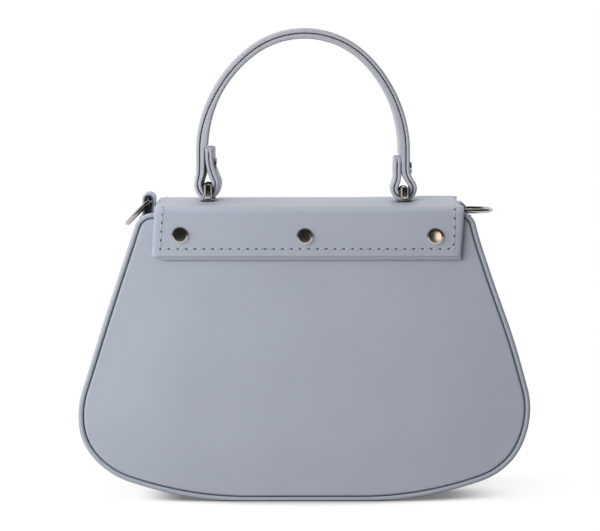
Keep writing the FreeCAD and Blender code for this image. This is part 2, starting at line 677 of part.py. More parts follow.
def make_handle_rivet(x):
    """Rivet across a strap loop: a shank and two low caps."""
    reach = handle_rivet_reach()
    z = FLAP_TOP + HANDLE_RIVET_RISE
    solid = Part.makeCylinder(HANDLE_RIVET_SHANK / 2, 2 * reach, Vector(x - reach, HANDLE_OFFSET, z),
                              Vector(1, 0, 0))
    for way in (-1, 1):
        seat = Vector(x + way * reach, HANDLE_OFFSET, z)
        cap = Part.makeCone(HANDLE_RIVET_CAP / 2, HANDLE_RIVET_CAP / 2 - HANDLE_RIVET_CAP_HEIGHT,
                            HANDLE_RIVET_CAP_HEIGHT, seat, Vector(way, 0, 0))
        solid = solid.fuse(cap)
    return solid.removeSplitter()


def ring_heights():
    """Heights of the rings' hinge axes: the right tab is sewn lower than the left one."""
    left = BODY_TOP + RING_LEFT_RISE
    return {"left": left, "right": left - RIGHT_TAB_DROP}


def make_ring(height, drop):
    """Right D-ring of round wire: its bar along Y at a height, its bow outwards, turned down by an angle."""
    half = (RING_WIDTH - RING_WIRE) / 2
    reach = RING_LENGTH - RING_WIRE
    bow = reach - half
    corner = RING_CORNER

    def point(u, v):
        return Vector(u, v, 0)

    def bend(u, v, radius, start, end):
        angles = [math.radians(angle) for angle in (start, (start + end) / 2, end)]
        places = [point(u + radius * math.cos(t), v + radius * math.sin(t)) for t in angles]
        return Part.Arc(*places).toShape()

    edges = [Part.LineSegment(point(0, -half + corner), point(0, half - corner)).toShape(),
             bend(corner, half - corner, corner, 180, 90),
             Part.LineSegment(point(corner, half), point(bow, half)).toShape(),
             bend(bow, 0, half, 90, 0),
             bend(bow, 0, half, 0, -90),
             Part.LineSegment(point(bow, -half), point(corner, -half)).toShape(),
             bend(corner, -half + corner, corner, -90, -180)]
    ring = pipe_along(edges, RING_WIRE, point(0, -half + corner), Vector(0, 1, 0))
    ring.rotate(Vector(0, 0, 0), Vector(0, 1, 0), drop)
    ring.translate(Vector(RING_AXIS_X, 0, height))
    return ring


def make_tab(height):
    """Right ring tab: a loop round a ring's bar at a height, its ends sewn between gusset and lining."""
    x = RING_AXIS_X
    half = TAB_WIDTH / 2
    rim = rim_height(half) - FLOOR_LIFT
    low = rim - TAB_REACH * math.cos(FLANK)
    neck = BASE_BOARD / 2
    outline = [(x + neck, height),
               (flank_x(GUSSET_INNER, rim), rim + FLOOR_LIFT),
               (flank_x(GUSSET_INNER, low), low + FLOOR_LIFT),
               (flank_x(LINING_INSET, low), low + FLOOR_LIFT),
               (flank_x(LINING_INSET, rim), rim + FLOOR_LIFT),
               (x - neck, height)]
    edges = [line(outline[i - 1], outline[i]) for i in range(len(outline))]

    def long_rod(radius):
        ends = [rod_y(2 * radius, x, z, -half, half) for z in (height, height + TAB_SLACK)]
        return block(x - radius, x + radius, -half, half, height, height + TAB_SLACK).fuse(ends)

    leg = slab(face_of(edges), -half, half)
    return leg.fuse(long_rod(TAB_LOOP_R)).cut(long_rod(TAB_HOLE_R)).removeSplitter()


def make_rings():
    """Both side rings and their tabs."""
    heights = ring_heights()
    return {"right_ring_tab": make_tab(heights["right"]),
            "left_ring_tab": to_other_side(make_tab(heights["left"])),
            "right_ring": make_ring(heights["right"], 0),
            "left_ring": to_other_side(make_ring(heights["left"], RING_LEFT_TILT))}


def main():
    """Build every piece and write one file for each node."""
    os.makedirs("parts", exist_ok=True)
    pieces = {}
    for make in (make_body, make_anchor, make_flap_rivets, make_flap, make_handle, make_rings):
        pieces.update(make())
    print("hinge y %.3f z %.3f, flap top %.3f, body top %.3f" % (HINGE_Y, HINGE_Z, FLAP_TOP, BODY_TOP))
    print("bars x %.3f z %.3f" % (BRIDGE_SPACING / 2, bar_height()))
    print("ring axes x %.3f z %.3f and %.3f" % (RING_AXIS_X, *ring_heights().values()))
    for name, shape in pieces.items():
        print("%-22s solids %d valid %s volume %.1f"
              % (name, len(shape.Solids), shape.isValid(), shape.Volume))
        shape.exportStep("parts/%s.step" % name)


main()
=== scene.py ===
"""Top handle bag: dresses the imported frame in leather, metal and cloth for a plain studio picture.

Sizes are in millimetres in the bag's own frame: +Z up, the riveted back towards -Y, the flap closing on
+Y, the floor at z = 0. They become metres where a mesh is made. Every piece is a surface worked out on a
grid of two parameters, or a section carried along a path.
"""
import logging
import math
from dataclasses import dataclass, field
from enum import Enum
from typing import Any, Sequence, Union

import bmesh
import bpy
import numpy as np
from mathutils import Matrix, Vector


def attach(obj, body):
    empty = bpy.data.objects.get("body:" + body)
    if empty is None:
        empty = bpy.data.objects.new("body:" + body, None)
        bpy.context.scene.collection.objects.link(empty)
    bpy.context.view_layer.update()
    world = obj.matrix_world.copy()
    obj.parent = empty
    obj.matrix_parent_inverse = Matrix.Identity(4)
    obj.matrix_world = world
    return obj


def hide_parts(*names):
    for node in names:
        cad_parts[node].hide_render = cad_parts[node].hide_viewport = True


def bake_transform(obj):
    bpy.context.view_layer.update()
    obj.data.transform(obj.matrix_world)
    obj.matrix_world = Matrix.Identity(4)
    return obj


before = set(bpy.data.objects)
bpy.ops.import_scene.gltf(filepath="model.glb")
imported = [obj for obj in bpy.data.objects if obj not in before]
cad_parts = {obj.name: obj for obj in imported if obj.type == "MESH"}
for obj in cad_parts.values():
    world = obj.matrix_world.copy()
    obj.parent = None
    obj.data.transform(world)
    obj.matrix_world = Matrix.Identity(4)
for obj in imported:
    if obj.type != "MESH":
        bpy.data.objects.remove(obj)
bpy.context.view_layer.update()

Array = np.ndarray
Number = Union[float, Array]
Colour = tuple[float, float, float]
LOG = logging.getLogger("bag")
MM = 0.001
WELD = 1e-4
BEVEL_STEPS = 3
BEVEL_ANGLE = math.radians(55)
SHARP_ANGLE = math.radians(60)
QUARTER = math.pi / 2
# Places that several pieces share
FLANK_LEAN = math.radians(17.8)
RIM_Z = 146.48
RING_AXIS_X = 84.0
LEFT_AXIS_Z = 157.98
RIGHT_AXIS_Z = 152.78
LEFT_DROP = math.radians(46)
HANDLE_Y = 4.0
LEFT_BRIDGE_X = -52.2
RIGHT_BRIDGE_X = 54.05
# Each wave of uneven leather: its height, its turns along the two ways, and its start
WAVES = ((1.0, 1.0, 0.31, 0.0), (0.6, -0.8, 1.7, 1.3), (0.4, 2.3, 1.9, 4.1))


class Body(Enum):
    """Bodies of the frame that a piece can ride on."""

    BAG = "bag_body"
    FLAP = "flap"
    HANDLE = "handle"
    LEFT_RING = "left_ring"
    RIGHT_RING = "right_ring"


class Way(Enum):
    """One of two opposite ways, as the sign of a coordinate."""

    @property
    def label(self) -> str:
        """Name of the way in lower case."""
        return self.name.lower()


class Side(Way):
    """Sides of the bag, as the sign of x."""

    LEFT = -1
    RIGHT = 1


class Face(Way):
    """The two leaning faces of the bag, as the sign of y."""

    BACK = -1
    FRONT = 1


class Slot(Enum):
    """Material slots of the record that new pieces use."""

    LEATHER = "bag_leather"
    PIPING = "piping_leather"
    HANDLE = "handle_leather"
    LINING = "lining_cloth"
    METAL = "dark_metal"


# Paths and sections

def run(start: Sequence[float], end: Sequence[float], count: int) -> Array:
    """Points of a straight run, evenly spaced, without its end.

    Args:
        start: First point.
        end: Point that the run stops short of.
        count: Number of points.

    Returns:
        Array of count points.
    """
    share = np.arange(count)[:, None] / count
    return (1 - share) * np.asarray(start, float) + share * np.asarray(end, float)


def bend(centre: Sequence[float], radius: float, start: float, end: float, count: int) -> Array:
    """Points of an arc, evenly spaced in angle, without its end.

    Args:
        centre: Centre of the arc.
        radius: Its radius.
        start: Angle of the first point, in radians.
        end: Angle that the arc stops short of.
        count: Number of points.

    Returns:
        Array of count points, centre + radius * (cos, sin).
    """
    angle = start + (end - start) * np.arange(count) / count
    return np.asarray(centre, float) + radius * np.stack([np.cos(angle), np.sin(angle)], axis=1)


def directions(path: Array, closed: bool) -> Array:
    """Unit tangents of a plane path, from the points before and after each point.

    Args:
        path: Points (n, 2).
        closed: Whether the last point joins the first.

    Returns:
        Tangents (n, 2).
    """
    if closed:
        step = np.roll(path, -1, axis=0) - np.roll(path, 1, axis=0)
    else:
        step = np.gradient(path, axis=0)
    return step / np.linalg.norm(step, axis=1, keepdims=True)


def lengths(path: Array) -> Array:
    """Length along a path of points, from 0 at its first one."""
    return np.concatenate([[0], np.cumsum(np.linalg.norm(np.diff(path, axis=0), axis=1))])


def swept(path: Array, section: Array, closed: bool = False) -> Array:
    """Carry a section along a plane path.

    A point is the path's point, plus the section's first number along the normal at the right of the
    travel, with the section's second number as its place across the plane. The section is taken backwards,
    so that the faces look outwards.

    Args:
        path: Points (n, 2) of the plane x, z.
        section: Section (m, 2), or (n, m, 2) where it changes along the path.
        closed: Whether the path is a ring.

    Returns:
        Surface (n, m, 3) as x, y, z.
    """
    tangent = directions(path, closed)
    normal = np.stack([tangent[:, 1], -tangent[:, 0]], axis=1)
    section = np.broadcast_to(section, (len(path),) + section.shape[-2:])[:, ::-1]
    flat = path[:, None, :] + section[..., :1] * normal[:, None, :]
    return np.stack([flat[..., 0], section[..., 1], flat[..., 1]], axis=-1)


def rounded_section(low: Number, high: Number, width: Number, low_round: Number, high_round: Number,
                    steps: int = 5) -> Array:
    """Rounded rectangle as a section: from low to high out of the path, and a width across it.

    Each corner is a quarter circle about a centre that lies its radius inside both sides.

    Args:
        low: Lower side, one number or one for each point of a path.
        high: Upper side, in the same way.
        width: Width across.
        low_round: Radius of the two lower corners.
        high_round: Radius of the two upper corners.
        steps: Points on each corner.

    Returns:
        Section (m, 2) or (n, m, 2).
    """
    values = (low, high, np.asarray(width) / 2, low_round, high_round)
    low, high, half, low_round, high_round = (np.asarray(value, float)[..., None] for value in values)
    sweep = np.linspace(0, QUARTER, steps)
    corners = []
    for turn, out, across in ((0, 1, 1), (1, -1, 1), (2, -1, -1), (3, 1, -1)):
        radius = high_round if out > 0 else low_round
        level = high - radius if out > 0 else low + radius
        angle = sweep + turn * QUARTER
        first = level + radius * np.cos(angle)
        second = across * (half - radius) + radius * np.sin(angle)
        corners.append(np.stack(np.broadcast_arrays(first, second), axis=-1))
    return np.concatenate(corners, axis=-2)


def round_section(radius: Number, steps: int = 20) -> Array:
    """Circle as a section, the same all along a path."""
    angle = np.linspace(0, 2 * math.pi, steps, endpoint=False)
    return radius * np.stack([np.cos(angle), np.sin(angle)], axis=1)


def turned(profile: Array, steps: int = 40) -> Array:
    """Turn a profile of (radius, height) points about the z axis.

    Args:
        profile: Points (k, 2) from one pole or rim to the other.
        steps: Points round the axis.

    Returns:
        Surface (k, steps, 3).
    """
    angle = np.linspace(0, 2 * math.pi, steps, endpoint=False)
    radius = profile[:, :1]
    height = np.broadcast_to(profile[:, 1:], (len(profile), steps))
    return np.stack([radius * np.cos(angle), radius * np.sin(angle), height], axis=-1)


def smooth(share: Number) -> Array:
    """Ease from 0 to 1 with level ends: 3 t^2 - 2 t^3, held outside 0 to 1."""
    share = np.clip(share, 0, 1)
    return share * share * (3 - 2 * share)


def ripple(a: Array, b: Array, length: float) -> Array:
    """Soft unevenness of hand-laid leather: a sum of three crossed sine waves, from -1 to 1.

    Args:
        a: First place, in millimetres.
        b: Second place.
        length: Longest wave's length.

    Returns:
        Value for each place.
    """
    k = 2 * math.pi / length
    heights = sum(wave[0] for wave in WAVES)
    return sum(high * np.sin(k * (p * a + q * b) + start) for high, p, q, start in WAVES) / heights


# Meshes

@dataclass
class Skin:
    """Points and faces of one piece, gathered from surfaces before they become a mesh."""

    name: str
    points: list[Array] = field(default_factory=list)
    painted_shades: list[Array] = field(default_factory=list)
    maps: list[Array] = field(default_factory=list)
    faces: list[list[int]] = field(default_factory=list)
    count: int = 0

    def surface(self, points: Array, ring: bool = False, tube: bool = False, painted_shade: Number = 0.0,
                chart: Array | None = None, turn_over: bool = False) -> "Skin":
        """Add a surface whose neighbours on the grid share faces.

        Args:
            points: Surface (n, m, 3) in millimetres.
            ring: Whether its last row joins its first.
            tube: Whether its last column joins its first.
            painted_shade: How much painted shade darkens it, from 0 to 1, one number or (n, m).
            chart: Flat place (n, m, 2) of each point in millimetres, for patterns that follow the surface.
            turn_over: Whether its faces look the other way.

        Returns:
            The skin itself.
        """
        rows, columns = points.shape[:2]
        index = np.arange(rows * columns).reshape(rows, columns) + self.count
        index = np.concatenate([index, index[:1]]) if ring else index
        index = np.concatenate([index, index[:, :1]], axis=1) if tube else index
        corners = [index[:-1, :-1], index[1:, :-1], index[1:, 1:], index[:-1, 1:]]
        quads = np.stack(corners[::-1] if turn_over else corners, axis=-1).reshape(-1, 4)
        self._take(points.reshape(-1, 3), np.broadcast_to(painted_shade, (rows, columns)).ravel(),
                   np.zeros((rows * columns, 2)) if chart is None else chart.reshape(-1, 2), quads.tolist())
        return self

    def strip(self, points: Array, painted_shade: Number = 0.0, turn_over: bool = False) -> "Skin":
        """Add a tube along a path, closed by a flat cap at each end."""
        first, columns = self.count, points.shape[1]
        last = first + (points.shape[0] - 1) * columns
        self.surface(points, tube=True, painted_shade=painted_shade, turn_over=turn_over)
        caps = [list(range(first, first + columns)), list(range(last + columns - 1, last - 1, -1))]
        self.faces += [cap[::-1] for cap in caps] if turn_over else caps
        return self

    def lid(self, columns: int, turn_over: bool) -> None:
        """Close the last row of the last tube, a ring of columns, with one flat face."""
        cap = list(range(self.count - columns, self.count))
        self.faces.append(cap[::-1] if turn_over else cap)

    def copies(self, shape: Array, faces: list[list[int]], places: Array, axes: Array) -> "Skin":
        """Add many copies of one small shape.

        Args:
            shape: Points (m, 3) of the shape.
            faces: Its faces.
            places: Where each copy goes (k, 3).
            axes: Each copy's three axes as rows (k, 3, 3).

        Returns:
            The skin itself.
        """
        points = places[:, None, :] + np.einsum("mi,kij->kmj", shape, axes)
        many = [[i + self.count + copy * len(shape) for i in face]
                for copy in range(len(places)) for face in faces]
        total = len(places) * len(shape)
        self._take(points.reshape(-1, 3), np.zeros(total), np.zeros((total, 2)), many)
        return self

    def _take(self, points: Array, painted_shade: Array, chart: Array, faces: list[list[int]]) -> None:
        """Append points, their values and their faces."""
        self.points.append(points)
        self.painted_shades.append(painted_shade)
        self.maps.append(chart)
        self.faces += faces
        self.count += len(points)

    def build(self, sharp: float = 50.0) -> bpy.types.Object:
        """Make the mesh object, in metres, at the origin; points that share a place become one.

        Args:
            sharp: Angle in degrees over which an edge stays sharp.

        Returns:
            The new object, linked to the scene.
        """
        mesh = bpy.data.meshes.new(self.name)
        mesh.from_pydata((np.concatenate(self.points) * MM).tolist(), [], self.faces)
        mesh.update()
        # Each point's painted shade, from 0 to 1, mixes the leather's colour towards its dark shade colour.
        painted_shade = mesh.attributes.new("painted_shade", "FLOAT", "POINT")
        painted_shade.data.foreach_set("value", np.concatenate(self.painted_shades).astype(np.float32))
        corner = np.zeros(len(mesh.loops), np.int32)
        mesh.loops.foreach_get("vertex_index", corner)
        chart = mesh.uv_layers.new(name="chart")
        chart.data.foreach_set("uv", (np.concatenate(self.maps)[corner] * MM).astype(np.float32).ravel())
        joined = bmesh.new()
        joined.from_mesh(mesh)
        bmesh.ops.remove_doubles(joined, verts=joined.verts, dist=WELD * MM)
        joined.to_mesh(mesh)
        joined.free()
        mesh.polygons.foreach_set("use_smooth", np.ones(len(mesh.polygons), bool))
        mesh.set_sharp_from_angle(angle=math.radians(sharp))
        mesh.update()
        piece = bpy.data.objects.new(self.name, mesh)
        bpy.context.scene.collection.objects.link(piece)
        return piece


def thickened(piece: bpy.types.Object, thickness: float, bevel: float) -> bpy.types.Object:
    """Give a sheet its thickness on the side away from its faces, with rounded edges, as a final mesh.

    Args:
        piece: Sheet that looks outwards.
        thickness: Thickness in millimetres.
        bevel: Radius of the cut edges in millimetres.

    Returns:
        The same object with its new mesh.
    """
    solid = piece.modifiers.new("thickness", "SOLIDIFY")
    solid.thickness = thickness * MM
    solid.offset = -1
    solid.use_even_offset = True
    edge = piece.modifiers.new("edge", "BEVEL")
    edge.width = bevel * MM
    edge.segments = BEVEL_STEPS
    edge.limit_method = "ANGLE"
    edge.angle_limit = BEVEL_ANGLE
    edge.harden_normals = False
    evaluated = piece.evaluated_get(bpy.context.evaluated_depsgraph_get())
    mesh = bpy.data.meshes.new_from_object(evaluated)
    piece.modifiers.clear()
    old = piece.data
    piece.data = mesh
    bpy.data.meshes.remove(old)
    mesh.name = piece.name
    mesh.polygons.foreach_set("use_smooth", np.ones(len(mesh.polygons), bool))
    mesh.set_sharp_from_angle(angle=SHARP_ANGLE)
    return piece


def dressed(piece: bpy.types.Object, body: Body | None, slot: Slot, finish: bpy.types.Material,
            *nodes: str) -> bpy.types.Object:
    """Give a piece its finish and body, and let it stand for frame nodes.

    Args:
        piece: The piece.
        body: Body that it rides on, or none for a piece left unattached.
        slot: Not used.
        finish: Its material.
        nodes: Frame nodes that it replaces.

    Returns:
        The piece.
    """
    piece.data.materials.clear()
    piece.data.materials.append(finish)
    if body is not None:
        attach(piece, body.value)
    if nodes:
        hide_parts(*nodes)
    LOG.info("%s on %s, %d faces", piece.name, body, len(piece.data.polygons))
    return piece


# Shader graphs

class Value:
    """A number socket of a graph; each operator adds one Math node."""

    def __init__(self, graph: "Graph", socket: bpy.types.NodeSocket) -> None:
        """Wrap a socket of a graph."""
        self.graph = graph
        self.socket = socket

    def _math(self, operation: str, *operands: Any) -> "Value":
        """Add a Math node of this operation on the operands."""
        node = self.graph.add("ShaderNodeMath", {"operation": operation}, dict(enumerate(operands)))
        return Value(self.graph, node.outputs[0])

    def __add__(self, other: Any) -> "Value":
        """Sum."""
        return self._math("ADD", self, other)

    def __sub__(self, other: Any) -> "Value":
        """Difference."""
        return self._math("SUBTRACT", self, other)

    def __rsub__(self, other: Any) -> "Value":
        """Difference, reflected."""
        return self._math("SUBTRACT", other, self)

    def __mul__(self, other: Any) -> "Value":
        """Product."""
        return self._math("MULTIPLY", self, other)

    def __pow__(self, other: Any) -> "Value":
        """Power."""
        return self._math("POWER", self, other)

    __radd__ = __add__
    __rmul__ = __mul__

    def sine(self) -> "Value":
        """Sine of the value."""
        return self._math("SINE", self)

    def at_most(self, other: Any) -> "Value":
        """The smaller of two values."""
        return self._math("MINIMUM", self, other)

    def at_least(self, other: Any) -> "Value":
        """The larger of two values."""
        return self._math("MAXIMUM", self, other)

    def between(self, low: float, high: float) -> "Value":
        """Share of the way from low to high, held from 0 to 1."""
        node = self.graph.add("ShaderNodeMapRange", {"interpolation_type": "SMOOTHSTEP"},
                              {0: self, 1: low, 2: high, 3: 0.0, 4: 1.0})
        return Value(self.graph, node.outputs[0])


class Graph:
    """Node graph of one material or of the world."""

    def __init__(self, tree: bpy.types.NodeTree) -> None:
        """Start from an empty tree."""
        self.tree = tree
        tree.nodes.clear()

    @classmethod
    def of_material(cls, name: str) -> tuple["Graph", bpy.types.Material]:
        """New material with an empty graph."""
        material = bpy.data.materials.new(name)
        material.use_nodes = True
        return cls(material.node_tree), material

    def add(self, kind: str, settings: dict[str, Any] | None = None,
            inputs: dict[Any, Any] | None = None) -> bpy.types.Node:
        """Add a node: its settings first, then its socket values and links.

        Args:
            kind: Node type.
            settings: Properties of the node.
            inputs: Values, sockets or wrapped values by socket name or number.

        Returns:
            The node.
        """
        node = self.tree.nodes.new(kind)
        for key, value in (settings or {}).items():
            setattr(node, key, value)
        for key, value in (inputs or {}).items():
            target = node.inputs[key]
            if isinstance(value, Value):
                self.tree.links.new(value.socket, target)
            elif isinstance(value, bpy.types.NodeSocket):
                self.tree.links.new(value, target)
            else:
                target.default_value = value
        return node

    def place(self) -> bpy.types.NodeSocket:
        """Object coordinates, in metres."""
        return self.add("ShaderNodeTexCoord").outputs["Object"]

    def noise(self, size: float, detail: float = 3.0, roughness: float = 0.5) -> Value:
        """Noise of 0 to 1 whose lumps have a size in millimetres."""
        node = self.add("ShaderNodeTexNoise", None, {"Vector": self.place(), "Scale": 1 / (size * MM),
                                                     "Detail": detail, "Roughness": roughness})
        return Value(self, node.outputs[0])

    def cells(self, size: float) -> Value:
        """Distance from a cell's edge for pebbles of a size in millimetres."""
        node = self.add("ShaderNodeTexVoronoi", {"feature": "DISTANCE_TO_EDGE"},
                        {"Vector": self.place(), "Scale": 1 / (size * MM)})
        return Value(self, node.outputs["Distance"])

    def attribute(self, name: str) -> Value:
        """Number that the mesh carries for each point."""
        return Value(self, self.add("ShaderNodeAttribute", {"attribute_name": name}).outputs["Fac"])

    def chart(self) -> tuple[Value, Value]:
        """The two numbers of the piece's own flat map, in metres."""
        place = self.add("ShaderNodeUVMap", {"uv_map": "chart"}).outputs[0]
        parts = self.add("ShaderNodeSeparateXYZ", None, {0: place})
        return Value(self, parts.outputs[0]), Value(self, parts.outputs[1])

    def mix(self, share: Any, first: Any, second: Any) -> bpy.types.NodeSocket:
        """Mix of two colours."""
        node = self.add("ShaderNodeMix", {"data_type": "RGBA"}, {0: share, 6: first, 7: second})
        return node.outputs[2]

    def tones(self, share: Value, colour: tuple[int, int, int], spread: float) -> bpy.types.NodeSocket:
        """Colour from a spread darker to a spread lighter as the share goes from 0 to 1."""
        return self.mix(share, paint(*colour, 1 - spread), paint(*colour, 1 + spread))

    def rays(self, *kinds: str) -> Value:
        """1 for a ray of any of these kinds and 0 for every other one."""
        outputs = self.add("ShaderNodeLightPath").outputs
        return sum(Value(self, outputs[kind]) for kind in kinds).at_most(1.0)

    def bump(self, height: Value, distance: float, strength: float) -> bpy.types.NodeSocket:
        """Normal from a height, whose full rise is a distance in millimetres."""
        node = self.add("ShaderNodeBump", None,
                        {"Strength": strength, "Distance": distance * MM, "Height": height})
        return node.outputs[0]

    def surface(self, inputs: dict[Any, Any]) -> None:
        """Close the graph with a Principled shader and the output."""
        shader = self.add("ShaderNodeBsdfPrincipled", None, inputs)
        self.add("ShaderNodeOutputMaterial", None, {"Surface": shader.outputs[0]})


def paint(red: int, green: int, blue: int, scale: float = 1.0) -> tuple[float, float, float, float]:
    """Linear colour of an sRGB colour of 0 to 255, by that standard's formula, with its light scaled."""
    shares = np.array([red, green, blue]) / 255
    linear = np.where(shares <= 0.04045, shares / 12.92, ((shares + 0.055) / 1.055) ** 2.4) * scale
    return (float(linear[0]), float(linear[1]), float(linear[2]), 1.0)


# Finishes

@dataclass(frozen=True)
class LeatherFinish:
    """Smooth calf leather: clouded colour, fine pebbles, and painted shade where the mesh carries it."""

    name: str
    colour: tuple[int, int, int]
    painted_shade_colour: tuple[int, int, int]
    roughness: float = 0.48
    cloud: float = 0.025
    cloud_size: float = 46.0
    grain_size: float = 0.8
    grain_depth: float = 0.05
    pebble_edge: float = 0.35
    speck_size: float = 1.6
    fold_size: float = 5.0
    relief: float = 0.55
    coat: float = 0.06
    coat_roughness: float = 0.35
    cloud_tone: float = 1.6
    speck_tone: float = 0.5
    cloud_gloss: float = 0.08
    speck_gloss: float = 0.16
    painted_shade_gloss: float = 0.2
    pebble_rise: float = 0.6
    speck_rise: float = 0.5
    fold_rise: float = 0.8

    def material(self) -> bpy.types.Material:
        """Build the material."""
        graph, material = Graph.of_material(self.name)
        cloud = graph.noise(self.cloud_size, detail=2.0)
        speck = graph.noise(self.speck_size, detail=4.0, roughness=0.6)
        tone = (cloud - 0.5) * self.cloud_tone + (speck - 0.5) * self.speck_tone + 0.5
        plain = graph.tones(tone.between(0.0, 1.0), self.colour, self.cloud)
        # Painted shade: the mesh's shade value darkens the colour towards the shade colour.
        painted_shade = graph.attribute("painted_shade")
        colour = graph.mix(painted_shade, plain, paint(*self.painted_shade_colour))
        pebble = graph.cells(self.grain_size).between(0.0, self.pebble_edge)
        fold = graph.noise(self.fold_size)
        height = pebble * self.pebble_rise + speck * self.speck_rise + fold * self.fold_rise
        gloss = (speck - 0.5) * self.speck_gloss + (cloud - 0.5) * self.cloud_gloss
        gloss = gloss + painted_shade * self.painted_shade_gloss
        graph.surface({"Base Color": colour, "Roughness": self.roughness + gloss,
                       "Coat Weight": self.coat, "Coat Roughness": self.coat_roughness,
                       "Normal": graph.bump(height, self.grain_depth, self.relief)})
        return material


@dataclass(frozen=True)
class MetalFinish:
    """Polished metal with faint rubbing marks and smudges."""

    name: str
    colour: tuple[int, int, int]
    roughness: float = 0.09
    smudge: float = 0.06
    smudge_size: float = 4.0
    smoothest: float = 0.04
    wear_size: float = 1.4
    wear_tone: float = 0.12
    wear_depth: float = 0.006
    relief: float = 0.3

    def material(self) -> bpy.types.Material:
        """Build the material."""
        graph, material = Graph.of_material(self.name)
        smudge = graph.noise(self.smudge_size, detail=4.0, roughness=0.6)
        rub = graph.noise(self.wear_size, detail=5.0, roughness=0.7)
        rough = (self.roughness + (smudge - 0.5) * self.smudge).at_least(self.smoothest)
        graph.surface({"Base Color": graph.tones(rub, self.colour, self.wear_tone),
                       "Metallic": 1.0, "Roughness": rough,
                       "Normal": graph.bump(rub, self.wear_depth, self.relief)})
        return material


@dataclass(frozen=True)
class ClothFinish:
    """Plain woven cloth: crossed threads on the piece's flat map, with slubs."""

    name: str
    colour: tuple[int, int, int]
    thread: float = 0.45
    depth: float = 0.12
    slub_size: float = 3.0
    slub_share: float = 0.4
    slub_rise: float = 0.6
    slub_gloss: float = 0.1
    dark: float = 0.78
    light: float = 1.12
    roughness: float = 0.86
    sheen: float = 0.2
    relief: float = 0.6

    def material(self) -> bpy.types.Material:
        """Build the material."""
        graph, material = Graph.of_material(self.name)
        along, across = graph.chart()
        turns = math.pi / (self.thread * MM)
        warp = (along * turns).sine()
        weft = (across * turns).sine()
        weave = warp * weft * 0.5 + 0.5
        slub = graph.noise(self.slub_size, detail=4.0, roughness=0.6)
        tone = weave * (1 - self.slub_share) + slub * self.slub_share
        colour = graph.mix(tone, paint(*self.colour, self.dark), paint(*self.colour, self.light))
        graph.surface({"Base Color": colour, "Roughness": self.roughness + (slub - 0.5) * self.slub_gloss,
                       "Sheen Weight": self.sheen,
                       "Normal": graph.bump(weave + slub * self.slub_rise, self.depth, self.relief)})
        return material


@dataclass(frozen=True)
class FibreFinish:
    """Matt stuff of short fibres: board, thread and painted edges."""

    name: str
    colour: tuple[int, int, int]
    grain_size: float
    depth: float = 0.1
    spread: float = 0.18
    roughness: float = 0.8
    gloss: float = 0.15
    relief: float = 0.5

    def material(self) -> bpy.types.Material:
        """Build the material."""
        graph, material = Graph.of_material(self.name)
        grain = graph.noise(self.grain_size, detail=5.0, roughness=0.65)
        graph.surface({"Base Color": graph.tones(grain, self.colour, self.spread),
                       "Roughness": self.roughness + (grain - 0.5) * self.gloss,
                       "Normal": graph.bump(grain, self.depth, self.relief)})
        return material


@dataclass
class Wardrobe:
    """Every finish of the bag, made once."""

    leather: bpy.types.Material
    piping: bpy.types.Material
    handle: bpy.types.Material
    inside: bpy.types.Material
    metal: bpy.types.Material
    steel: bpy.types.Material
    cloth: bpy.types.Material
    board: bpy.types.Material
    thread: bpy.types.Material
    ink: bpy.types.Material

    @classmethod
    def stocked(cls) -> "Wardrobe":
        """Make the materials."""
        return cls(
            # Each leather's second colour is the dark colour of its painted shade.
            leather=LeatherFinish("blue_grey_leather", (176, 182, 195), (74, 78, 88)).material(),
            piping=LeatherFinish("piping_leather", (172, 178, 191), (70, 74, 84),
                                 grain_size=0.6).material(),
            handle=LeatherFinish("handle_leather", (185, 188, 196), (66, 67, 72), grain_size=0.7,
                                 grain_depth=0.008, cloud=0.02).material(),
            inside=LeatherFinish("lining_leather", (150, 154, 164), (72, 76, 84), roughness=0.6).material(),
            metal=MetalFinish("dark_nickel", (184, 179, 175)).material(),
            steel=MetalFinish("magnet_steel", (150, 150, 152), roughness=0.3).material(),
            cloth=ClothFinish("lining_cloth", (128, 131, 138)).material(),
            board=FibreFinish("stiff_board", (122, 121, 120), 0.9).material(),
            thread=FibreFinish("thread", (186, 191, 203), 0.25, depth=0.05, roughness=0.6).material(),
            # Edge paint along the handle's seam; the same dark also paints shade in the stitch holes and
            # under the bridges.
            ink=FibreFinish("edge_paint_and_shade", (58, 60, 69), 0.8, depth=0.02, roughness=0.45).material(),
        )


# The body

